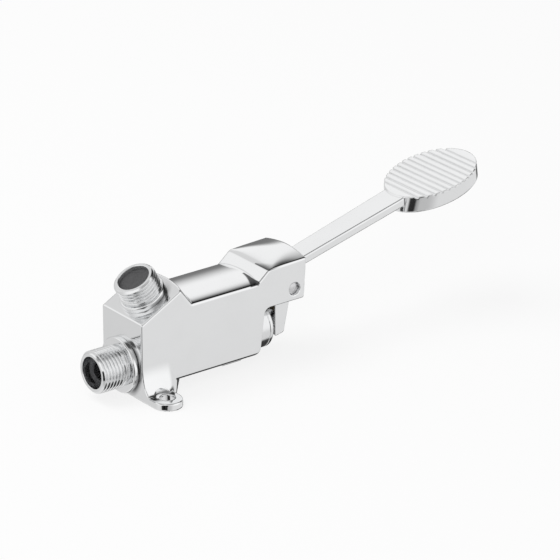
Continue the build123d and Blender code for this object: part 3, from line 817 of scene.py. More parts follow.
@dataclass
class ValveBody:
    """The one-piece casting: barrel, wedge with the sloped face, hood with two ears, lugs and rear rest.

    A pair of sizes named for a place is its X and Z in the side view. Other groups of sizes:

    Attributes:
        hood_crowns: Rise of the hood's roof over its side edges, at the crease and at the rear.
        hood_powers: Power of the roof's curve across, at the crease and at the rear.
        flare: How far the flare over a lug spreads, and how tall it is.
        rest: Start and end of the rear rest along X, and its half width.
        bores: Start, end and radius of each bore along the barrel.
        outlet_stub: Depth and radius of the outlet port's seat.
        outlet_passage: Depth and radius of the passage below it.
        bright_half: Half width of the middle strip that gets no painted shade before and behind the ramp.
        wedge_power: Power by which the painted-shade wedges grow from that strip to the near side.
        foot_shade: Painted-shade wedge before the ramp: length at the side, fade, and reach on to the ramp.
        crest_shade: Painted-shade wedge behind the ramp: length at the side and in the middle.
        crest_band: How far that wedge reaches before the crest and below it.
        crest_start: Share of the way from the strip to the side at which that wedge starts.
        port_shade_reach: Radius of the painted shade round the inlet's collar and round the outlet's.
        port_shares: How dark each of them is.
        port_fade: Width over which they fade out.
        port_side: How far to the near side of the middle they are at their darkest.
        outlet_foot: How far down the slope from the outlet's middle its dark fades out.
        slack: Allowance when the points of one face are picked out.
    """

    half_width: float = 16.0 * MM
    front: float = FRONT
    ridge: float = 39.0 * MM
    peak: Pair = (14.6 * MM, 51.0166 * MM)
    notch: Pair = (21.1 * MM, 42.4 * MM)
    ramp_foot: Pair = (59.4 * MM, 42.4 * MM)
    ramp_top: Pair = (66.6 * MM, 48.4 * MM)
    hood_end: Pair = (88.9 * MM, 49.2 * MM)
    ear_end: Pair = (87.6 * MM, 28.85 * MM)
    tail_top: Pair = (64.4 * MM, 28.85 * MM)
    tail_foot: Pair = (61.4 * MM, 5.5 * MM)
    edge: float = 0.7 * MM
    belly_edge: float = 2.4 * MM
    crease: float = 0.35 * MM
    ear_root: float = 3.0 * MM
    ear_corner: float = 1.0 * MM
    tail_corner: float = 4.5 * MM
    crown_tip: float = 16.64 * MM
    barrel_crown: float = 2.0 * MM
    wedge_crown: float = 3.0 * MM
    hood_crowns: Pair = (0.12 * MM, 2.3 * MM)
    hood_swell: float = 3.5
    hood_powers: Pair = (5.5, 1.7)
    axis_height: float = AXIS_HEIGHT
    barrel_radius: float = BONNET_RADIUS
    barrel_end: float = 61.0 * MM
    belly_root: float = 2.0 * MM
    lug_reach: float = 24.9 * MM
    lug_radius: float = 8.0 * MM
    lug_hole: float = 3.5 * MM
    lug_top: float = 3.7 * MM
    lug_edge: float = 0.7 * MM
    lug_rear: float = 0.86
    flare: Pair = (5.8 * MM, 14.0 * MM)
    flare_end: float = 12.0 * MM
    flare_slant: float = 0.85
    flare_roll: float = 4.0 * MM
    spot_face: float = 6.5 * MM
    web_end: float = 11.2 * MM
    web_corner: float = 3.5 * MM
    rest: Triple = (46.0 * MM, 58.0 * MM, 5.5 * MM)
    slot_half: float = 7.4 * MM
    slot_front: float = 70.0 * MM
    slot_roof: float = 43.763 * MM
    slot_corner: float = 3.0 * MM
    pivot: Pair = PIVOT
    pivot_hole: float = 3.25 * MM
    bonnet_recess: float = 12.2 * MM
    bores: tuple[Triple, ...] = (
        (-11.0 * MM, -2.0 * MM, 9.05 * MM),
        (-8.0 * MM, 5.5 * MM, 7.2 * MM),
        (5.5 * MM, 30.0 * MM, 8.0 * MM),
        (30.0 * MM, 66.6 * MM, 8.8 * MM),
    )
    outlet_stub: Pair = (6.0 * MM, 9.05 * MM)
    outlet_passage: Pair = (35.6 * MM, 6.0 * MM)
    lip: float = 0.25 * MM
    shade_reach: float = 1.3 * MM
    bright_half: float = 3.5 * MM
    wedge_power: float = 1.5
    foot_shade: Triple = (4.2 * MM, 0.7 * MM, 1.5 * MM)
    crest_shade: Pair = (8.0 * MM, 0.2 * MM)
    crest_band: Pair = (0.3 * MM, 0.6 * MM)
    crest_start: float = 0.1
    port_shade_reach: Pair = (17.2 * MM, 15.0 * MM)
    port_shares: Pair = (0.9, 0.8)
    port_fade: float = 3.0 * MM
    port_side: float = 10.0 * MM
    outlet_foot: float = 6.0 * MM
    slack: float = 0.1 * MM
    cell: float = 0.5 * MM

    def crown(self, y: Array, height: float) -> Array:
        """Height of an elliptical crown over its own edges, across the body.

        Args:
            y: Places across the body.
            height: Rise in the middle.

        Returns:
            The height, zero at both sides of the body.
        """
        edge_share = math.sqrt(1 - (self.half_width / self.crown_tip) ** 2)
        rise = height / (1 - edge_share)
        return rise * (np.sqrt(np.maximum(1 - (y / self.crown_tip) ** 2, 0.0)) - edge_share)

    def nose(self, x: Array, z: Array) -> Array:
        """Front face and sloped face, with the round ridge between them."""
        return both(self.front - x, left_of(x, z, (self.front, self.ridge), self.peak), self.edge)

    def wedge(self, x: Array, y: Array, z: Array) -> Array:
        """Front block with the sloped face and the crowned back."""
        back = left_of(x, z, self.peak, self.notch) - self.crown(y, self.wedge_crown)
        return both(self.nose(x, z), back, self.edge)

    def barrel(self, x: Array, y: Array, z: Array) -> Array:
        """Long block under the crowned top.

        Args:
            x, y, z: Places of the points, in metres.

        Returns:
            Distance outside the block.
        """
        top = z - self.notch[1] - self.crown(y, self.barrel_crown)
        tail = left_of(x, z, self.tail_top, self.tail_foot)
        return both(both(self.front - x, top), tail)

    def hood(self, x: Array, y: Array, z: Array) -> Array:
        """Rear block: the ramp, the hood's roof and the ears' outline.

        Args:
            x, y, z: Places of the points, in metres.

        Returns:
            Distance outside the block.
        """
        share = np.clip((x - self.ramp_top[0]) / (self.hood_end[0] - self.ramp_top[0]), 0.0, 1.0)
        swell = 1 - (1 - share) ** self.hood_swell
        height = self.hood_crowns[0] + swell * (self.hood_crowns[1] - self.hood_crowns[0])
        power = self.hood_powers[1] + (self.hood_powers[0] - self.hood_powers[1]) * (1 - share) ** 2
        arc = height * (1 - (np.abs(y) / self.half_width) ** power)
        roof = left_of(x, z, self.ramp_top, self.hood_end) - arc
        ramp = left_of(x, z, self.ramp_foot, self.ramp_top)
        end = left_of(x, z, self.hood_end, self.ear_end)
        bottom = self.ear_end[1] - z
        return both(both(both(ramp, roof, self.edge), end, self.edge), bottom, self.ear_corner)

    def barrel_tube(self, x: Array, y: Array, z: Array) -> Array:
        """Round belly of the barrel."""
        radial = outside_circle(y, z - self.axis_height, self.barrel_radius)
        return both(both(radial, self.front - x), x - self.barrel_end, self.edge)

    def lugs(self, x: Array, y: Array, z: Array) -> Array:
        """Plate with a round end and a hole on each side, and the web that joins it to the body.

        Args:
            x, y, z: Places of the points, in metres.

        Returns:
            Distance outside the plates and the web.
        """
        past = np.maximum(np.abs(y) - self.lug_reach, 0.0)
        along = np.maximum(x, 0.0) / self.lug_rear - np.minimum(x, 0.0)
        plan = outside_circle(along, past, self.lug_radius)
        plate = both(plan, z - self.lug_top, self.lug_edge)
        web_plan = both(x - self.web_end, np.abs(y) - self.half_width, self.web_corner)
        web = both(both(web_plan, self.front - x), z - self.tail_foot[1])
        return either(plate, web, self.crease)

    def flares(self, x: Array, y: Array, z: Array) -> Array:
        """Foot with a hollow elliptical side that spreads from each side of the body down to its lug.

        Args:
            x, y, z: Places of the points, in metres.

        Returns:
            Distance outside the feet.
        """
        wide, tall = self.flare
        out, up = self.half_width + wide - np.abs(y), self.lug_top + tall - z
        foot = both(both(-outside_ellipse(out, up, wide, tall), -out), -up)
        end = x - self.flare_end + self.flare_slant * (np.abs(y) - self.half_width)
        end = end / math.hypot(1.0, self.flare_slant)
        return both(both(foot, self.front - x, self.edge), end, self.flare_roll)

    def bore(self, x: Array, y: Array, z: Array, start: float, end: float, radius: float) -> Array:
        """Round bore along the barrel's axis."""
        radial = outside_circle(y, z - self.axis_height, radius)
        return both(both(radial, start - x), x - end)

    def from_outlet(self, x: Array, z: Array) -> tuple[Array, Array]:
        """Distance out of the sloped face, and up along it, from the outlet's middle.

        Args:
            x, z: Places in the side view.

        Returns:
            The two distances.
        """
        dx, dz = x - OUTLET_FACE[0], z - OUTLET_FACE[1]
        cosine, sine = math.cos(OUTLET_TILT), math.sin(OUTLET_TILT)
        return -dx * sine + dz * cosine, dx * cosine + dz * sine

    def outlet_bore(self, x: Array, y: Array, z: Array) -> Array:
        """Stub bore and passage under the sloped face.

        Args:
            x, y, z: Places of the points, in metres.

        Returns:
            Distance outside the bore.
        """
        out, across = self.from_outlet(x, z)
        stub, passage = (
            both(outside_circle(across, y, radius), -out - depth)
            for depth, radius in (self.outlet_stub, self.outlet_passage)
        )
        return both(either(stub, passage), out - self.outlet_stub[0])

    def shape(self, x: Array, y: Array, z: Array) -> Array:
        """Distance field of the whole casting.

        Args:
            x, y, z: Places of the points, in metres.

        Returns:
            Distance outside the casting.
        """
        outline = both(either(self.wedge(x, y, z), self.barrel(x, y, z), self.crease), self.nose(x, z))
        root = np.where(z > self.pivot[1], self.crease, self.ear_root)
        outline = either(outline, self.hood(x, y, z), root)
        bottom = self.tail_foot[1] - z
        tail = left_of(x, z, self.tail_top, self.tail_foot)
        low_corner = both(tail, bottom, self.tail_corner)
        outline = np.where(z < self.ear_end[1] / 2, np.maximum(outline, low_corner), outline)
        outline = both(outline, bottom)
        slab = both(outline, np.abs(y) - self.half_width, self.edge)
        slab = both(slab, both(bottom, np.abs(y) - self.half_width, self.belly_edge))
        solid = either(slab, self.barrel_tube(x, y, z), self.belly_root)
        solid = either(either(solid, self.lugs(x, y, z), self.crease), self.flares(x, y, z))
        start, end, half = self.rest
        rest = both(np.abs(x - (start + end) / 2) - (end - start) / 2, np.abs(y) - half, self.edge)
        solid = either(solid, both(rest, z - self.tail_foot[1]), self.crease)
        solid = both(both(solid, self.front - x, self.lip), -z, self.lip)
        return self.cut(solid, x, y, z)

    def cut(self, solid: Array, x: Array, y: Array, z: Array) -> Array:
        """Takes the slot, the holes and the bores out of the casting.

        Args:
            solid: Distance outside the uncut casting.
            x, y, z: Places of the points, in metres.

        Returns:
            Distance outside the cut one.
        """
        slot = both(self.slot_front - x, z - self.slot_roof, self.slot_corner)
        slot = both(both(slot, np.abs(y) - self.slot_half), self.axis_height - z)
        holes = outside_circle(x, np.abs(y) - self.lug_reach, self.lug_hole)
        spots = both(outside_circle(x, np.abs(y) - self.lug_reach, self.spot_face), self.lug_top - z)
        pin = outside_circle(x - self.pivot[0], z - self.pivot[1], self.pivot_hole)
        solid = both(both(both(solid, -slot, self.lip), -spots), -holes, self.lip)
        solid = both(solid, -pin, self.lip)
        recess = self.bore(x, y, z, self.barrel_end, self.hood_end[0], self.bonnet_recess)
        solid = both(solid, -recess, self.lip)
        for start, end, radius in self.bores:
            solid = both(solid, -self.bore(x, y, z, start, end, radius))
        return both(solid, -self.outlet_bore(x, y, z))

    def ramp_shade(self, x: Array, y: Array, z: Array) -> Array:
        """Painted-shade wedges before the ramp's foot and behind its crest, widest at the near side.

        Args:
            x, y, z: Places of the points, in metres.

        Returns:
            How dark each point is.
        """
        side = faded((-y - self.bright_half) / (self.half_width - self.bright_half))
        wedge = side**self.wedge_power
        (length, fade, climb), (behind_side, behind_middle) = self.foot_shade, self.crest_shade
        on_ramp = left_of(x, z, self.ramp_foot, self.ramp_top) > -fade
        on_top = (z > self.notch[1] - 2 * self.slack) & on_ramp & (x < self.ramp_foot[0] + climb)
        foot = faded((x - self.ramp_foot[0] + length * wedge) / fade) * (side > 0.0) * on_top
        behind = x - self.ramp_top[0]
        on_roof = (behind > -self.crest_band[0]) & (z > self.ramp_top[1] - self.crest_band[1])
        on_roof = on_roof & (side > self.crest_start)
        crest = faded(1 - behind / (behind_side * wedge + behind_middle)) * on_roof
        return np.maximum(foot, crest)

    def port_shade(self, x: Array, y: Array, z: Array) -> Array:
        """Painted shade round the two ports' collars, on the near half of their faces.

        Args:
            x, y, z: Places of the points, in metres.

        Returns:
            How dark each point is.
        """
        near = faded(-y / self.port_side)
        inlet = faded((self.port_shade_reach[0] - np.hypot(y, z - self.axis_height)) / self.port_fade)
        inlet = inlet * near * (x < self.front + self.slack)
        out, across = self.from_outlet(x, z)
        outlet = faded((self.port_shade_reach[1] - np.hypot(y, across)) / self.port_fade)
        outlet = outlet * near * (np.abs(out) < self.slack) * faded(across / self.outlet_foot + 1)
        return np.maximum(self.port_shares[0] * inlet, self.port_shares[1] * outlet)

    def painted_dark(self, points: Array) -> Array:
        """Painted shade on the casting's near side: wedges at the ramp and round the ports' collars."""
        return np.maximum(self.ramp_shade(*points.T), self.port_shade(*points.T))

    def build(self, finish: bpy.types.Material) -> bpy.types.Object:
        """Meshes the casting and puts it in its CAD node's place."""
        piece = cast("cast_body", "valve_body", self.shape, self.cell, self.shade_reach, self.painted_dark)
        return dress(piece, finish, Slot.BODY, Body.VALVE, "valve_body")


@dataclass
class PedalLever:
    """The one-piece lever: finger and hub, sloping arm, and the oval pedal with its ribs.

    Attributes:
        finger_back: X and Z of the corners up the finger's back.
        arm_ends: Where the arm starts and ends along X.
        arm_halves: Half width of the arm at its start and end.
        pedal_half: Half length and half width of the pedal's top.
        foot_half: Half length and half width of the pedal's lower rim.
        foot_shift: How far the lower rim lies towards the arm.
        rim_margin: How far past its two rims the pedal's wall is drawn on, as a share of its height.
    """

    pivot: Pair = PIVOT
    bush_radius: float = 4.17 * MM
    hub_radius: float = 5.6 * MM
    finger_half: float = 6.2 * MM
    finger_front: float = 77.5 * MM
    finger_foot: float = 7.55 * MM
    finger_back: tuple[Pair, ...] = (
        (82.7 * MM, 8.75 * MM),
        (86.1 * MM, 24.45 * MM),
        (87.4 * MM, 34.75 * MM),
    )
    slope: float = ARM_SLOPE
    arm_top: float = 41.6 * MM
    arm_thickness: float = 4.3 * MM
    arm_ends: Pair = (77.8 * MM, 165.8 * MM)
    arm_halves: Pair = (6.0 * MM, 7.6 * MM)
    arm_edge: float = 0.7 * MM
    pedal_centre: Pair = (177.7 * MM, 66.5 * MM)
    pedal_slope: float = math.radians(13.0)
    pedal_half: Pair = (24.4 * MM, 21.0 * MM)
    foot_half: Pair = (25.42 * MM, 19.5 * MM)
    foot_shift: float = 1.2 * MM
    rim_margin: float = 0.2
    pedal_thickness: float = 8.2 * MM
    pedal_edge: float = 0.5 * MM
    pedal_wall: float = 3.2 * MM
    pocket: float = 3.8 * MM
    rib_pitch: float = 3.5 * MM
    rib_count: int = 13
    rib_height: float = 0.9 * MM
    rib_round: float = 0.3 * MM
    groove_half: float = 0.65 * MM
    shade_reach: float = 0.8 * MM
    cell: float = 0.35 * MM

    def height(self, x: Array) -> Array:
        """Height of the arm's top face."""
        return self.arm_top + (x - self.pivot[0]) * math.tan(self.slope)

    def arm(self, x: Array, y: Array, z: Array) -> Array:
        """The flat sloping arm, widening towards the pedal.

        Args:
            x, y, z: Places of the points, in metres.

        Returns:
            Distance outside the arm.
        """
        top = (z - self.height(x)) * math.cos(self.slope)
        (start, end), (narrow, wide) = self.arm_ends, self.arm_halves
        half = narrow + (x - start) / (end - start) * (wide - narrow)
        slab = np.abs(top + self.arm_thickness / 2) - self.arm_thickness / 2
        bar = both(slab, np.abs(y) - half, self.arm_edge)
        return both(both(bar, start - x, self.arm_edge), x - end)

    def finger(self, x: Array, y: Array, z: Array) -> Array:
        """The finger that hangs behind the ears, with the hub round the pivot.

        Args:
            x, y, z: Places of the points, in metres.

        Returns:
            Distance outside the finger and the hub, with the bush's bore cut out.
        """
        back = left_of(x, z, self.finger_back[1], self.finger_back[0])
        upper = left_of(x, z, self.finger_back[2], self.finger_back[1])
        foot = left_of(x, z, self.finger_back[0], (self.finger_front, self.finger_foot))
        plan = both(both(self.finger_front - x, back), upper)
        plan = both(both(plan, foot, self.arm_edge), z - self.height(x) + self.arm_thickness / 2)
        hub, bush = (
            outside_circle(x - self.pivot[0], z - self.pivot[1], radius)
            for radius in (self.hub_radius, self.bush_radius)
        )
        plan = both(either(plan, hub), -bush)
        return both(plan, np.abs(y) - self.finger_half, self.arm_edge / 2)

    def oval(self, along: Array, y: Array, up: Array, inset: float) -> Array:
        """Distance to the pedal's oval wall, which narrows downwards and leans towards the arm.

        Args:
            along: Places along the pedal from its middle.
            y: Places across it.
            up: Heights over its top face.
            inset: How far inside the outer wall.

        Returns:
            Distance outside the wall.
        """
        depth = np.clip(-up / self.pedal_thickness, -self.rim_margin, 1 + self.rim_margin)
        half_long, half_wide = (
            top + depth * (foot - top) - inset for top, foot in zip(self.pedal_half, self.foot_half)
        )
        return outside_ellipse(along + depth * self.foot_shift, y, half_long, half_wide)

    def pedal(self, x: Array, y: Array, z: Array, arm: Array) -> Array:
        """The oval pedal joined to the arm: ribs above, a pocket below.

        Args:
            x, y, z: Places of the points, in metres.
            arm: Distance outside the arm.

        Returns:
            Distance outside the pedal and the arm as one.
        """
        cosine, sine = math.cos(self.pedal_slope), math.sin(self.pedal_slope)
        dx, dz = x - self.pedal_centre[0], z - self.pedal_centre[1]
        along, up = dx * cosine + dz * sine, dz * cosine - dx * sine
        wall = self.oval(along, y, up, 0.0)
        turn = along / self.rib_pitch
        away = np.abs(turn - np.floor(turn) - 0.5) * self.rib_pitch
        away = np.where(np.abs(along) < (self.rib_count - 1) / 2 * self.rib_pitch, away, self.rib_pitch)
        groove = self.rib_height * np.sqrt(np.maximum(1 - (away / self.groove_half) ** 2, 0.0))
        plate = both(both(wall, up + groove, self.rib_round), -up - self.pedal_thickness, self.pedal_edge)
        arm_strip = both(along + self.pedal_half[0] / 2, np.abs(y) - self.arm_halves[1])
        pocket = both(self.oval(along, y, up, self.pedal_wall), up + self.pedal_thickness - self.pocket)
        pocket = both(pocket, -arm_strip, self.arm_edge)
        plate = both(plate, -pocket, self.arm_edge / 2)
        trimmed = both(arm, np.minimum(-wall, up + self.rib_height))
        return either(plate, trimmed, self.arm_edge / 2)

    def shape(self, x: Array, y: Array, z: Array) -> Array:
        """Distance field of the whole lever."""
        return either(self.pedal(x, y, z, self.arm(x, y, z)), self.finger(x, y, z), self.arm_edge)

    def build(self, finish: bpy.types.Material) -> bpy.types.Object:
        """Meshes the lever and puts it in its CAD node's place."""
        piece = cast("cast_lever", "pedal_lever", self.shape, self.cell, self.shade_reach)
        return dress(piece, finish, Slot.LEVER, Body.PEDAL, "pedal_lever")


# Turned pieces


@dataclass(frozen=True)
class Corner:
    """One corner of a turned profile: a place along the axis, a radius, and the round that it gets."""

    along: float
    radius: float
    round: float = 0.0


@dataclass
class Turned:
    """A piece turned about an axis from a closed profile of corners.

    Attributes:
        origin: Point on the axis where the profile's zero lies.
        axis: Direction of the axis.
        corners: Corners of the profile, in order.
        ring: Number of points round the axis.
        rise: Steps along each rounded corner.
    """

    origin: Triple
    axis: Triple
    corners: Sequence[Corner]
    ring: int = 144
    rise: int = 6

    def rounded(self) -> Array:
        """Profile points with every round drawn as an arc.

        Returns:
            Place along the axis and radius of each point.
        """
        profile = []
        count = len(self.corners)
        for place, corner in enumerate(self.corners):
            here = np.array((corner.along, corner.radius))
            before, after = self.corners[place - 1], self.corners[(place + 1) % count]
            to_last = np.array((before.along, before.radius)) - here
            to_next = np.array((after.along, after.radius)) - here
            if corner.round <= 0.0:
                profile.append(here)
                continue
            last_way = to_last / np.linalg.norm(to_last)
            next_way = to_next / np.linalg.norm(to_next)
            half = math.acos(float(np.clip(last_way @ next_way, -1.0, 1.0))) / 2
            bisector = (last_way + next_way) / np.linalg.norm(last_way + next_way)
            centre = here + bisector * corner.round / math.sin(half)
            reach = corner.round / math.tan(half)
            start, end = here + last_way * reach - centre, here + next_way * reach - centre
            turn = math.pi - 2 * half
            for step in range(self.rise + 1):
                share = step / self.rise
                weight_a = math.sin((1 - share) * turn) / math.sin(turn)
                weight_b = math.sin(share * turn) / math.sin(turn)
                profile.append(centre + weight_a * start + weight_b * end)
        return np.array(profile)

    def radii(self, profile: Array, angles: Array) -> Array:
        """Radius of each profile point at each angle."""
        return np.repeat(profile[:, 1:], len(angles), axis=1)

    def mesh(self, name: str) -> bpy.types.Object:
        """Meshes the piece as a closed ring of quads.

        Args:
            name: The new piece's name.

        Returns:
            The piece.
        """
        profile = self.rounded()
        angles = np.arange(self.ring) * 2 * math.pi / self.ring
        radii = self.radii(profile, angles)
        axis = np.array(self.axis, float)
        side = np.array((0.0, 1.0, 0.0))
        third = np.cross(axis, side)
        spokes = np.cos(angles)[:, None] * side + np.sin(angles)[:, None] * third
        points = np.array(self.origin) + profile[:, :1, None] * axis + radii[:, :, None] * spokes
        rows, ring = radii.shape
        row, column = np.meshgrid(np.arange(rows), np.arange(ring), indexing="ij")
        next_row, next_column = (row + 1) % rows, (column + 1) % ring
        around = ((row, column), (next_row, column), (next_row, next_column), (row, next_column))
        quads = np.stack([a * ring + b for a, b in around], -1)
        return new_piece(name, points.reshape(-1, 3), quads.reshape(-1, 4))


@dataclass
class Port(Turned):
    """A male port: stub, rounded collar, relief, and a helical pipe thread up to the chamfered end.

    Attributes:
        crest: Radius over the thread's crests.
        root: Radius in the thread's roots.
        pitch: Distance from thread to thread.
        thread: Where the thread starts and ends along the axis.
        flat: Share of half a pitch that is flat at the root, and as much at the crest.
        rows: Profile rows for each turn of thread.
        slack: Allowance when the rows along the thread are picked out.
    """

    crest: float = THREAD_CREST
    root: float = THREAD_ROOT
    pitch: float = 1.814 * MM
    thread: Pair = (0.0, 0.0)
    flat: float = 0.14
    rows: int = 22
    slack: float = 0.01 * MM

    def rounded(self) -> Array:
        """Profile with extra rows along the thread.

        Returns:
            Place along the axis and radius of each point.
        """
        profile = super().rounded()
        outside = profile[:, 1] > self.root - 10 * self.slack
        threaded = outside & (profile[:, 0] >= self.thread[0] - self.slack)
        step = self.pitch / self.rows
        dense = []
        for place, point in enumerate(profile):
            dense.append(point)
            if threaded[place] and threaded[place + 1 : place + 2].any():
                after = profile[place + 1]
                count = max(int(abs(after[0] - point[0]) / step), 1)
                dense += [point + (after - point) * share / count for share in range(1, count)]
        return np.array(dense)

    def radii(self, profile: Array, angles: Array) -> Array:
        """Radius with the thread's groove cut in.

        Args:
            profile: Place along the axis and radius of each point.
            angles: Angles round the axis.

        Returns:
            One row of radii for each profile point.
        """
        plain = super().radii(profile, angles)
        along = profile[:, :1]
        start, end = self.thread
        phase = along / self.pitch - angles[None, :] / (2 * math.pi)
        wave = np.abs(2 * (phase - np.floor(phase)) - 1)
        flank = faded((wave - self.flat) / (1 - 2 * self.flat))
        flank = flank * flank * (3 - 2 * flank)
        fade = faded((along - start) / self.pitch)
        groove = self.root + (self.crest - self.root) * (1 - (1 - flank) * fade)
        threaded = (along > start) & (along <= end) & (plain > self.root)
        return np.where(threaded, np.minimum(plain, groove), plain)


@dataclass(frozen=True)
class PortSizes:
    """What differs between the two ports.

    Attributes:
        reach: How far the port stands out of its face.
        collar: Radius of its collar.
        thickness: Thickness of the collar.
        step: How far out of the face its bore steps wider.
    """

    reach: float
    collar: float
    thickness: float
    step: float


@dataclass
class Ports:
    """The two ports, alike but for their reach, collar and bore step.

    Attributes:
        stub: Depth of the plain part in the body.
        thread_lead: How soon the thread's full radius follows the relief.
        collar_edge: Round of the collar's outer edge.
        rim: Round of the collar's foot and the bore's mouth.
        edge: Round of the port's end and the stub's end.
        fine: Round of the small steps.
    """

    stub: float = 6.0 * MM
    stub_radius: float = 9.0 * MM
    throat: float = 6.9 * MM
    bore: float = 7.86 * MM
    relief: float = 1.0 * MM
    thread_lead: float = 0.4 * MM
    chamfer: float = 1.2 * MM
    collar_edge: float = 0.9 * MM
    rim: float = 0.35 * MM
    shoulder: float = 0.3 * MM
    edge: float = 0.2 * MM
    relief_corner: float = 0.15 * MM
    fine: float = 0.1 * MM
    inlet: PortSizes = PortSizes(17.7 * MM, 13.8 * MM, 2.9 * MM, 5.0 * MM)
    outlet: PortSizes = PortSizes(12.3 * MM, 11.5 * MM, 2.8 * MM, 9.4 * MM)

    def port(self, origin: Triple, axis: Triple, sizes: PortSizes) -> Port:
        """One port, from the middle of its face and the way that it points.

        Args:
            origin: Middle of the port's face.
            axis: The way that it points.
            sizes: The sizes that it doesn't share with the other.

        Returns:
            The port, ready to be meshed.
        """
        relief_end = sizes.thickness + self.relief
        corners = [
            Corner(-self.stub, self.throat),
            Corner(-self.stub, self.stub_radius, self.edge),
            Corner(0.0, self.stub_radius),
            Corner(0.0, sizes.collar, self.rim),
            Corner(sizes.thickness, sizes.collar, self.collar_edge),
            Corner(sizes.thickness, THREAD_ROOT, self.relief_corner),
            Corner(relief_end, THREAD_ROOT, self.fine),
            Corner(relief_end + self.thread_lead, THREAD_CREST),
            Corner(sizes.reach - self.chamfer, THREAD_CREST, self.shoulder),
            Corner(sizes.reach, THREAD_CREST - self.chamfer, self.edge),
            Corner(sizes.reach, self.bore, self.rim),
            Corner(sizes.step, self.bore, self.fine),
            Corner(sizes.step, self.throat, self.fine),
        ]
        return Port(origin, axis, corners, thread=(relief_end, sizes.reach))

    def build(self, finish: bpy.types.Material) -> list[bpy.types.Object]:
        """Builds both ports in the place of their CAD nodes.

        Args:
            finish: Finish of both.

        Returns:
            The two pieces.
        """
        outlet_way = (-math.sin(OUTLET_TILT), 0.0, math.cos(OUTLET_TILT))
        inlet = self.port((FRONT, 0.0, AXIS_HEIGHT), (-1.0, 0.0, 0.0), self.inlet)
        outlet = self.port((OUTLET_FACE[0], 0.0, OUTLET_FACE[1]), outlet_way, self.outlet)
        return [
            dress(inlet.mesh("inlet_port"), finish, Slot.PORT, Body.VALVE, "inlet_nipple"),
            dress(outlet.mesh("outlet_port"), finish, Slot.PORT, Body.VALVE, "outlet_nipple"),
        ]


@dataclass
class RearEnd:
    """The bonnet that closes the barrel, and the pivot pin in the ears.

    Attributes:
        groove_back: Distance of the turned groove from the bonnet's face.
        groove_depth: Depth of the groove, which is also half its width.
        head_edge: Round of the bonnet's outer edge at its face.
        edge: Round of the bonnet's other outer edges.
        pocket_edge: Round of the pocket's mouth.
        groove_edge: Round of the groove's corners.
        pin_tip: Radius of the small flat in the middle of the pin's dome.
        pin_steps: Steps along the pin's dome.
        pin_ring: Number of points round the pin.
    """

    bonnet_start: float = 48.4 * MM
    head_start: float = 61.8 * MM
    end: float = 72.6 * MM
    plug_radius: float = 8.75 * MM
    head_radius: float = BONNET_RADIUS
    stem_bore: float = 3.05 * MM
    pocket_radius: float = 6.0 * MM
    pocket_depth: float = 16.6 * MM
    groove_back: float = 2.4 * MM
    groove_depth: float = 0.25 * MM
    head_edge: float = 0.9 * MM
    edge: float = 0.4 * MM
    pocket_edge: float = 0.3 * MM
    groove_edge: float = 0.1 * MM
    pin_radius: float = 3.2 * MM
    pin_half: float = 15.1 * MM
    pin_dome: float = 0.7 * MM
    pin_tip: float = 0.02 * MM
    pin_steps: int = 7
    pin_ring: int = 64

    def bonnet(self) -> bpy.types.Object:
        """Bonnet with a turned groove near its face.

        Returns:
            The piece, not dressed yet.
        """
        floor = self.end - self.pocket_depth
        groove, depth = self.end - self.groove_back, self.groove_depth
        corners = [
            Corner(self.bonnet_start, self.stem_bore),
            Corner(self.bonnet_start, self.plug_radius, self.edge),
            Corner(self.head_start, self.plug_radius),
            Corner(self.head_start, self.head_radius, self.edge),
            Corner(groove, self.head_radius, self.groove_edge),
            Corner(groove + depth, self.head_radius - depth, self.groove_edge),
            Corner(groove + 2 * depth, self.head_radius, self.groove_edge),
            Corner(self.end, self.head_radius, self.head_edge),
            Corner(self.end, self.pocket_radius, self.pocket_edge),
            Corner(floor, self.pocket_radius),
            Corner(floor, self.stem_bore),
        ]
        return Turned((0.0, 0.0, AXIS_HEIGHT), ALONG_X, corners).mesh("bonnet_cap")

    def pin(self) -> bpy.types.Object:
        """Pivot pin with a low dome at each end, turned level and then set across the ears.

        Returns:
            The piece, not dressed yet.
        """
        dome = (self.pin_radius**2 + self.pin_dome**2) / (2 * self.pin_dome)
        widest = math.asin(self.pin_radius / dome)
        angles = [widest * step / self.pin_steps for step in range(1, self.pin_steps + 1)]
        tip = Corner(self.pin_half, self.pin_tip)
        curve = [
            Corner(self.pin_half - dome * (1 - math.cos(angle)), dome * math.sin(angle)) for angle in angles
        ]
        other = [Corner(-corner.along, corner.radius) for corner in reversed([tip] + curve)]
        pin = Turned((0.0, 0.0, 0.0), ALONG_X, [tip] + curve + other, self.pin_ring).mesh("pivot_pin_domed")
        place = Matrix.Translation((PIVOT[0], 0.0, PIVOT[1]))
        pin.data.transform(place @ Matrix.Rotation(math.pi / 2, 4, "Z"))
        return pin

    def build(self, satin: bpy.types.Material, steel: bpy.types.Material) -> list[bpy.types.Object]:
        """Builds the satin bonnet and the steel pin in the place of their CAD nodes."""
        return [
            dress(self.bonnet(), satin, Slot.BONNET, Body.VALVE, "bonnet"),
            dress(self.pin(), steel, Slot.STEM, Body.VALVE, "pivot_pin"),
        ]


# Dressing the pieces


def dress(
    piece: bpy.types.Object, finish: bpy.types.Material, slot: Slot, body: Body, *replaced: str
) -> bpy.types.Object:
    """Gives a piece its material, its slot, its body and the CAD nodes that it stands for.

    Args:
        piece: The new piece.
        finish: Its material.
        slot: Not used.
        body: The body that it rides on.
        replaced: CAD nodes that it replaces.

    Returns:
        The piece.
    """
    piece.data.materials.clear()
    piece.data.materials.append(finish)
    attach(piece, body.value)
    if replaced:
        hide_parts(*replaced)
    LOG.info("%s: %d faces, rides on %s", piece.name, len(piece.data.polygons), body.value)
    return piece


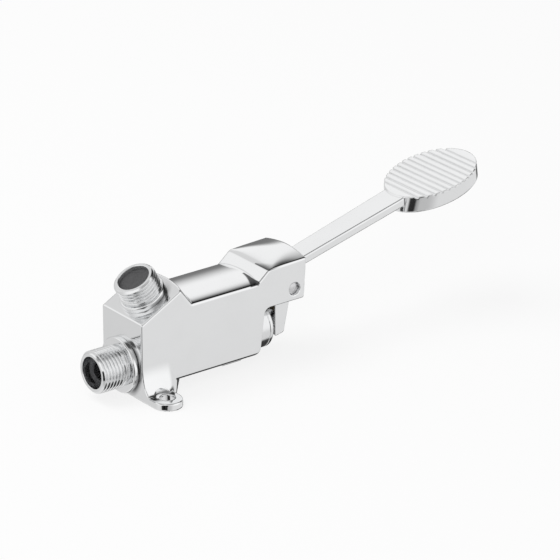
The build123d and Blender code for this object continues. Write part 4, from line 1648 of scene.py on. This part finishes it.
@dataclass
class Finishes:
    """Every material of the valve, built once.

    Attributes:
        slot: Front, half width and top of the casting's slot, just outside its walls, which are painted
            dark as shade.
        made: The materials by name.
    """

    slot: Triple = (69.9 * MM, 7.4 * MM, 43.9 * MM)
    made: dict[str, bpy.types.Material] = field(default_factory=dict)

    def build(self) -> None:
        """Builds the materials."""
        recipes = {
            "body": Chrome("plated_casting", slot=self.slot),
            "port": Chrome(
                "plated_thread", roughness=0.07, ripple=0.000006, grain_scale=(2600.0, 300.0, 300.0)
            ),
            "lever": Chrome("plated_lever", roughness=0.06, ripple=0.000030, grain_turn=-ARM_SLOPE),
            "bonnet": Chrome(
                "plated_bonnet",
                tone=(0.80, 0.805, 0.81),
                roughness=0.14,
                haze=0.08,
                ripple=0.000004,
                grain=0.000003,
                grain_scale=(3800.0, 300.0, 300.0),
            ),
            "brass": GroundMetal("turned_brass", (0.70, 0.50, 0.22), stain=(0.33, 0.22, 0.10)),
            # Brass painted dark as the shade deep in the slot where the gland nut sits, with the usual
            # tarnish.
            "gland": GroundMetal(
                "shade_darkened_brass", (0.20, 0.16, 0.10), roughness=0.42, stain=(0.07, 0.06, 0.05)
            ),
            "stem": GroundMetal("ground_steel", (0.60, 0.61, 0.62), roughness=0.20),
            "spring": GroundMetal("spring_wire", (0.42, 0.42, 0.43), roughness=0.30),
            "pin": GroundMetal(
                "pin_steel", (0.66, 0.66, 0.67), roughness=0.16, lines=(260.0, 260.0, 260.0), depth=0.000008
            ),
            "rubber": Soft("black_rubber", (0.018, 0.018, 0.018), worn=(0.06, 0.06, 0.058), roughness=0.62),
            "bush": Soft("moulded_bush", (0.72, 0.72, 0.68), worn=(0.55, 0.54, 0.50), roughness=0.38),
            "screen": WovenScreen("outlet_mesh", tilt=OUTLET_TILT),
            "strainer": WovenScreen("strainer_mesh", wire=(0.30, 0.30, 0.31)),
        }
        for name, recipe in recipes.items():
            self.made[name] = recipe.build()

    def __getitem__(self, name: str) -> bpy.types.Material:
        """The material of that name."""
        return self.made[name]


@dataclass
class CarriedNodes:
    """CAD nodes whose shape is kept, and the finish of each."""

    finishes: dict[str, tuple[str, ...]] = field(
        default_factory=lambda: {
            "rubber": (
                "inlet_gasket",
                "outlet_gasket",
                "seat_o_ring",
                "poppet_seal",
                "bonnet_gasket",
                "stem_seals",
                "stem_wiper",
            ),
            "brass": ("seat_bush", "poppet", "poppet_nut", "spring_guide", "seal_spacer"),
            "gland": ("gland_nut",),
            "stem": ("stem", "spring_cap", "stem_clip", "push_button"),
            "bush": ("lever_bush", "thrust_washers"),
            "screen": ("outlet_screen",),
            "strainer": ("inlet_strainer",),
        }
    )

    def dress(self, nodes: dict[str, bpy.types.Object], made: Finishes) -> None:
        """Gives each carried node its finish."""
        for finish, names in self.finishes.items():
            for name in names:
                for slot in nodes[name].material_slots:
                    slot.material = made[finish]
                LOG.info("%s keeps its shape, finished as %s", name, finish)


@dataclass
class ReturnSpring:
    """The coil between the guide and the cap.

    Attributes:
        fixed_end: Where the coil rests on its guide, along X. Not used.
        length: Its length at rest. Not used.
        travel: How far the stem can go in. Not used.
    """

    fixed_end: float = 31.6 * MM
    length: float = 14.4 * MM
    travel: float = 3.5 * MM

    def build(self, node: bpy.types.Object, finish: bpy.types.Material) -> None:
        """Puts a coil of the solid's own shape in its place.

        Args:
            node: The spring's CAD node.
            finish: Its finish.
        """
        piece = bpy.data.objects.new("coil_spring", node.data.copy())
        bpy.context.scene.collection.objects.link(piece)
        piece.matrix_world = node.matrix_world.copy()
        dress(piece, finish, Slot.SPRING, Body.VALVE, "return_spring")
        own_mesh(piece)


# Studio


@dataclass(frozen=True)
class Patch:
    """A lighter or darker part of the surroundings that the plating mirrors.

    Attributes:
        centre: Direction of its middle.
        amount: How much it adds, or the share that it takes away.
        reach: Inner and outer angle in degrees, and where given the scale on heights.
    """

    centre: Triple
    amount: float
    reach: tuple[float, ...]

    def change(self, graph: Graph, way: Signal) -> Signal:
        """How much the patch changes the tone in a direction."""
        return self.amount * graph.patch(way, self.centre, *self.reach)


@dataclass(frozen=True)
class Lamp:
    """A square soft light aimed at the valve, out of the plating's sight.

    Attributes:
        name: The lamp's name.
        towards: Its direction, seen from the valve.
        distance: Its distance from the valve, in metres.
        size: Its side, in metres.
        power: Its power, in watts.
    """

    name: str
    towards: Triple
    distance: float
    size: float
    power: float

    def build(self, target: Triple) -> None:
        """Hangs the lamp.

        Args:
            target: Place at which it is aimed.
        """
        data = bpy.data.lights.new(self.name, "AREA")
        data.size = self.size
        data.energy = self.power
        lamp = bpy.data.objects.new(self.name, data)
        bpy.context.scene.collection.objects.link(lamp)
        way = Vector(self.towards).normalized()
        lamp.location = Vector(target) + way * self.distance
        lamp.rotation_mode = "QUATERNION"
        lamp.rotation_quaternion = way.to_track_quat("Z", "Y")
        lamp.visible_glossy = False


@dataclass
class Studio:
    """Pale floor, soft light, and the surroundings that plated metal needs to look like metal.

    Attributes:
        azimuth: Turn of the camera round the valve from its near side.
        elevation: Height of the camera over the floor, as an angle.
        roll: Turn of the camera about its own axis.
        target: Place at which the camera and the lamps are aimed.
        distance: Distance of the camera from there.
        lens: Focal length, in millimetres, on a film of the width sensor.
        clip: Nearest and farthest distance that the camera draws.
        floor_shine: Brightness of the floor to the camera.
        floor_grain: Scale of the floor's grain.
        floor_depth: Height of the floor's grain.
        camera_share: Share of that brightness in what the camera sees of the floor.
        mirror_share: The same share in what a mirror would see of it.
        diffuse_tone: Brightness of the surroundings as a light.
        plain_tone: Their brightness in the plating, away from the patches.
        windows: Patches that lighten them.
        gaps: Patches that darken them.
        lamps: The soft lights.
    """

    azimuth: float = math.radians(-37.135)
    elevation: float = math.radians(23.102)
    roll: float = math.radians(-0.084)
    target: Triple = (85.135 * MM, 0.0, 33.07 * MM)
    distance: float = 2040.3 * MM
    lens: float = 272.43
    sensor: float = 36.0
    clip: Pair = (0.05, 50.0)
    floor_size: float = 12.0
    floor_tone: Colour = (0.86, 0.86, 0.86)
    floor_shine: float = 1.0
    floor_grain: float = 300.0
    floor_depth: float = 0.00002
    camera_share: float = 0.8
    mirror_share: float = 0.7
    diffuse_tone: float = 0.62
    plain_tone: float = 0.80
    windows: tuple[Patch, ...] = (
        Patch((0.47, 0.75, 0.46), 0.20, (6.0, 24.0)),
        Patch((0.45, -0.80, 0.40), 0.27, (25.0, 50.0)),
        Patch((-0.80, -0.10, 0.55), 0.20, (15.0, 50.0)),
        Patch((-0.45, 0.70, 0.55), 0.30, (9.0, 25.0)),
    )
    gaps: tuple[Patch, ...] = (
        Patch((0.75, 0.10, 0.65), 0.95, (12.0, 33.0)),
        Patch((0.38, 0.15, 0.91), 0.92, (10.0, 27.0)),
        Patch((-0.55, 0.05, 0.83), 0.90, (8.0, 22.0)),
        Patch((0.56, 0.83, 0.0), 0.75, (14.0, 36.0, 1.6)),
        Patch((-0.70, -0.62, -0.15), 0.95, (18.0, 23.0)),
        Patch((-0.83, -0.38, -0.39), 0.95, (7.0, 13.0)),
        Patch((-0.60, -0.65, -0.45), 0.30, (12.0, 45.0)),
        Patch((-0.31, -0.43, -0.85), 0.85, (5.0, 15.0)),
        Patch((0.50, 0.15, -0.85), 0.94, (24.0, 33.0)),
        Patch((0.66, 0.63, -0.39), 0.92, (11.0, 19.0)),
        Patch((0.95, 0.0, 0.30), 0.85, (12.0, 24.0)),
        Patch((-0.10, -0.65, 0.75), 0.45, (15.0, 36.0)),
        Patch((-0.5, 0.85, 0.1), 0.12, (20.0, 60.0)),
    )
    lamps: tuple[Lamp, ...] = (
        Lamp("key_softbox", (-0.5, 0.5, 1.2), 1.8, 1.2, 14.0),
        Lamp("fill_softbox", (-0.9, -0.8, 0.7), 2.0, 1.4, 8.0),
    )

    def camera(self) -> None:
        """Puts the camera at the fitted viewpoint."""
        data = bpy.data.cameras.new("camera")
        data.sensor_width = self.sensor
        data.lens = self.lens
        data.clip_start, data.clip_end = self.clip
        camera = bpy.data.objects.new("camera", data)
        bpy.context.scene.collection.objects.link(camera)
        turn, rise = self.azimuth, self.elevation
        level = math.cos(rise)
        back = Vector((math.sin(turn) * level, -math.cos(turn) * level, math.sin(rise)))
        right = Vector((math.cos(turn), math.sin(turn), 0.0))
        up = back.cross(right)
        right, up = (
            right * math.cos(self.roll) + up * math.sin(self.roll),
            up * math.cos(self.roll) - right * math.sin(self.roll),
        )
        place = Matrix((right, up, back)).transposed().to_4x4()
        place.translation = Vector(self.target) + back * self.distance
        camera.matrix_world = place
        bpy.context.scene.camera = camera

    def reflected(self, graph: Graph, way: Signal) -> Signal:
        """What the plating mirrors: pale surroundings, soft windows and the dark gaps between them.

        Args:
            graph: The world's graph.
            way: Direction that is looked along.

        Returns:
            The brightness in that direction.
        """
        tone: Union[Signal, float] = self.plain_tone
        for patch in self.windows:
            tone = tone + patch.change(graph, way)
        for patch in self.gaps:
            tone = tone * (1.0 - patch.change(graph, way))
        return tone

    def world(self) -> None:
        """White for the camera, plain soft light elsewhere, and the studio in the metal."""
        world = bpy.data.worlds.new("studio")
        world.use_nodes = True
        bpy.context.scene.world = world
        graph = Graph(world.node_tree)
        rays = ("Is Camera Ray", "Is Glossy Ray", "Is Transmission Ray")
        camera, glossy, through = graph.several("ShaderNodeLightPath", rays)
        way = graph.add("ShaderNodeTexCoord", None, None, "Generated")
        mirrored = (glossy + through).span(0.0, 1.0)
        strength = self.diffuse_tone * (1.0 - mirrored) + self.reflected(graph, way) * mirrored
        strength = strength * (1.0 - camera) + camera
        back = graph.add("ShaderNodeBackground", None, {"Color": WHITE, "Strength": strength})
        graph.add("ShaderNodeOutputWorld", None, {"Surface": back})

    def floor(self) -> None:
        """Pale floor, near white to the camera, that keeps the object's shadow."""
        half = self.floor_size / 2
        corners = np.array([(-half, -half, 0.0), (half, -half, 0.0), (half, half, 0.0), (-half, half, 0.0)])
        floor = new_piece("floor", corners, [(0, 1, 2, 3)])
        material, graph = new_material("pale_floor")
        camera, glossy = graph.several("ShaderNodeLightPath", ("Is Camera Ray", "Is Glossy Ray"))
        grain = graph.bump(graph.noise(graph.place(), self.floor_grain, detail=3.0), self.floor_depth)
        matt = graph.add("ShaderNodeBsdfDiffuse", None, {"Color": self.floor_tone, "Normal": grain})
        glow = graph.add("ShaderNodeEmission", None, {"Color": WHITE, "Strength": self.floor_shine})
        share = (camera * self.camera_share + glossy * self.mirror_share).span(0.0, 1.0)
        surface = graph.add("ShaderNodeMixShader", None, {0: share, 1: matt, 2: glow})
        graph.add("ShaderNodeOutputMaterial", None, {"Surface": surface})
        floor.data.materials.append(material)
        floor.visible_glossy = False

    def build(self) -> None:
        """Sets up the whole studio."""
        bpy.context.scene.view_settings.view_transform = "Standard"
        self.camera()
        self.world()
        self.floor()
        for lamp in self.lamps:
            lamp.build(self.target)


def main() -> None:
    """Builds the valve's looks and the studio."""
    logging.basicConfig(level=logging.INFO, format="%(name)s: %(message)s")
    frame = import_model()
    finishes = Finishes()
    finishes.build()
    ValveBody().build(finishes["body"])
    PedalLever().build(finishes["lever"])
    Ports().build(finishes["port"])
    RearEnd().build(finishes["bonnet"], finishes["pin"])
    CarriedNodes().dress(frame["nodes"], finishes)
    ReturnSpring().build(frame["nodes"]["return_spring"], finishes["spring"])
    Studio().build()


if __name__ == "__main__":
    main()
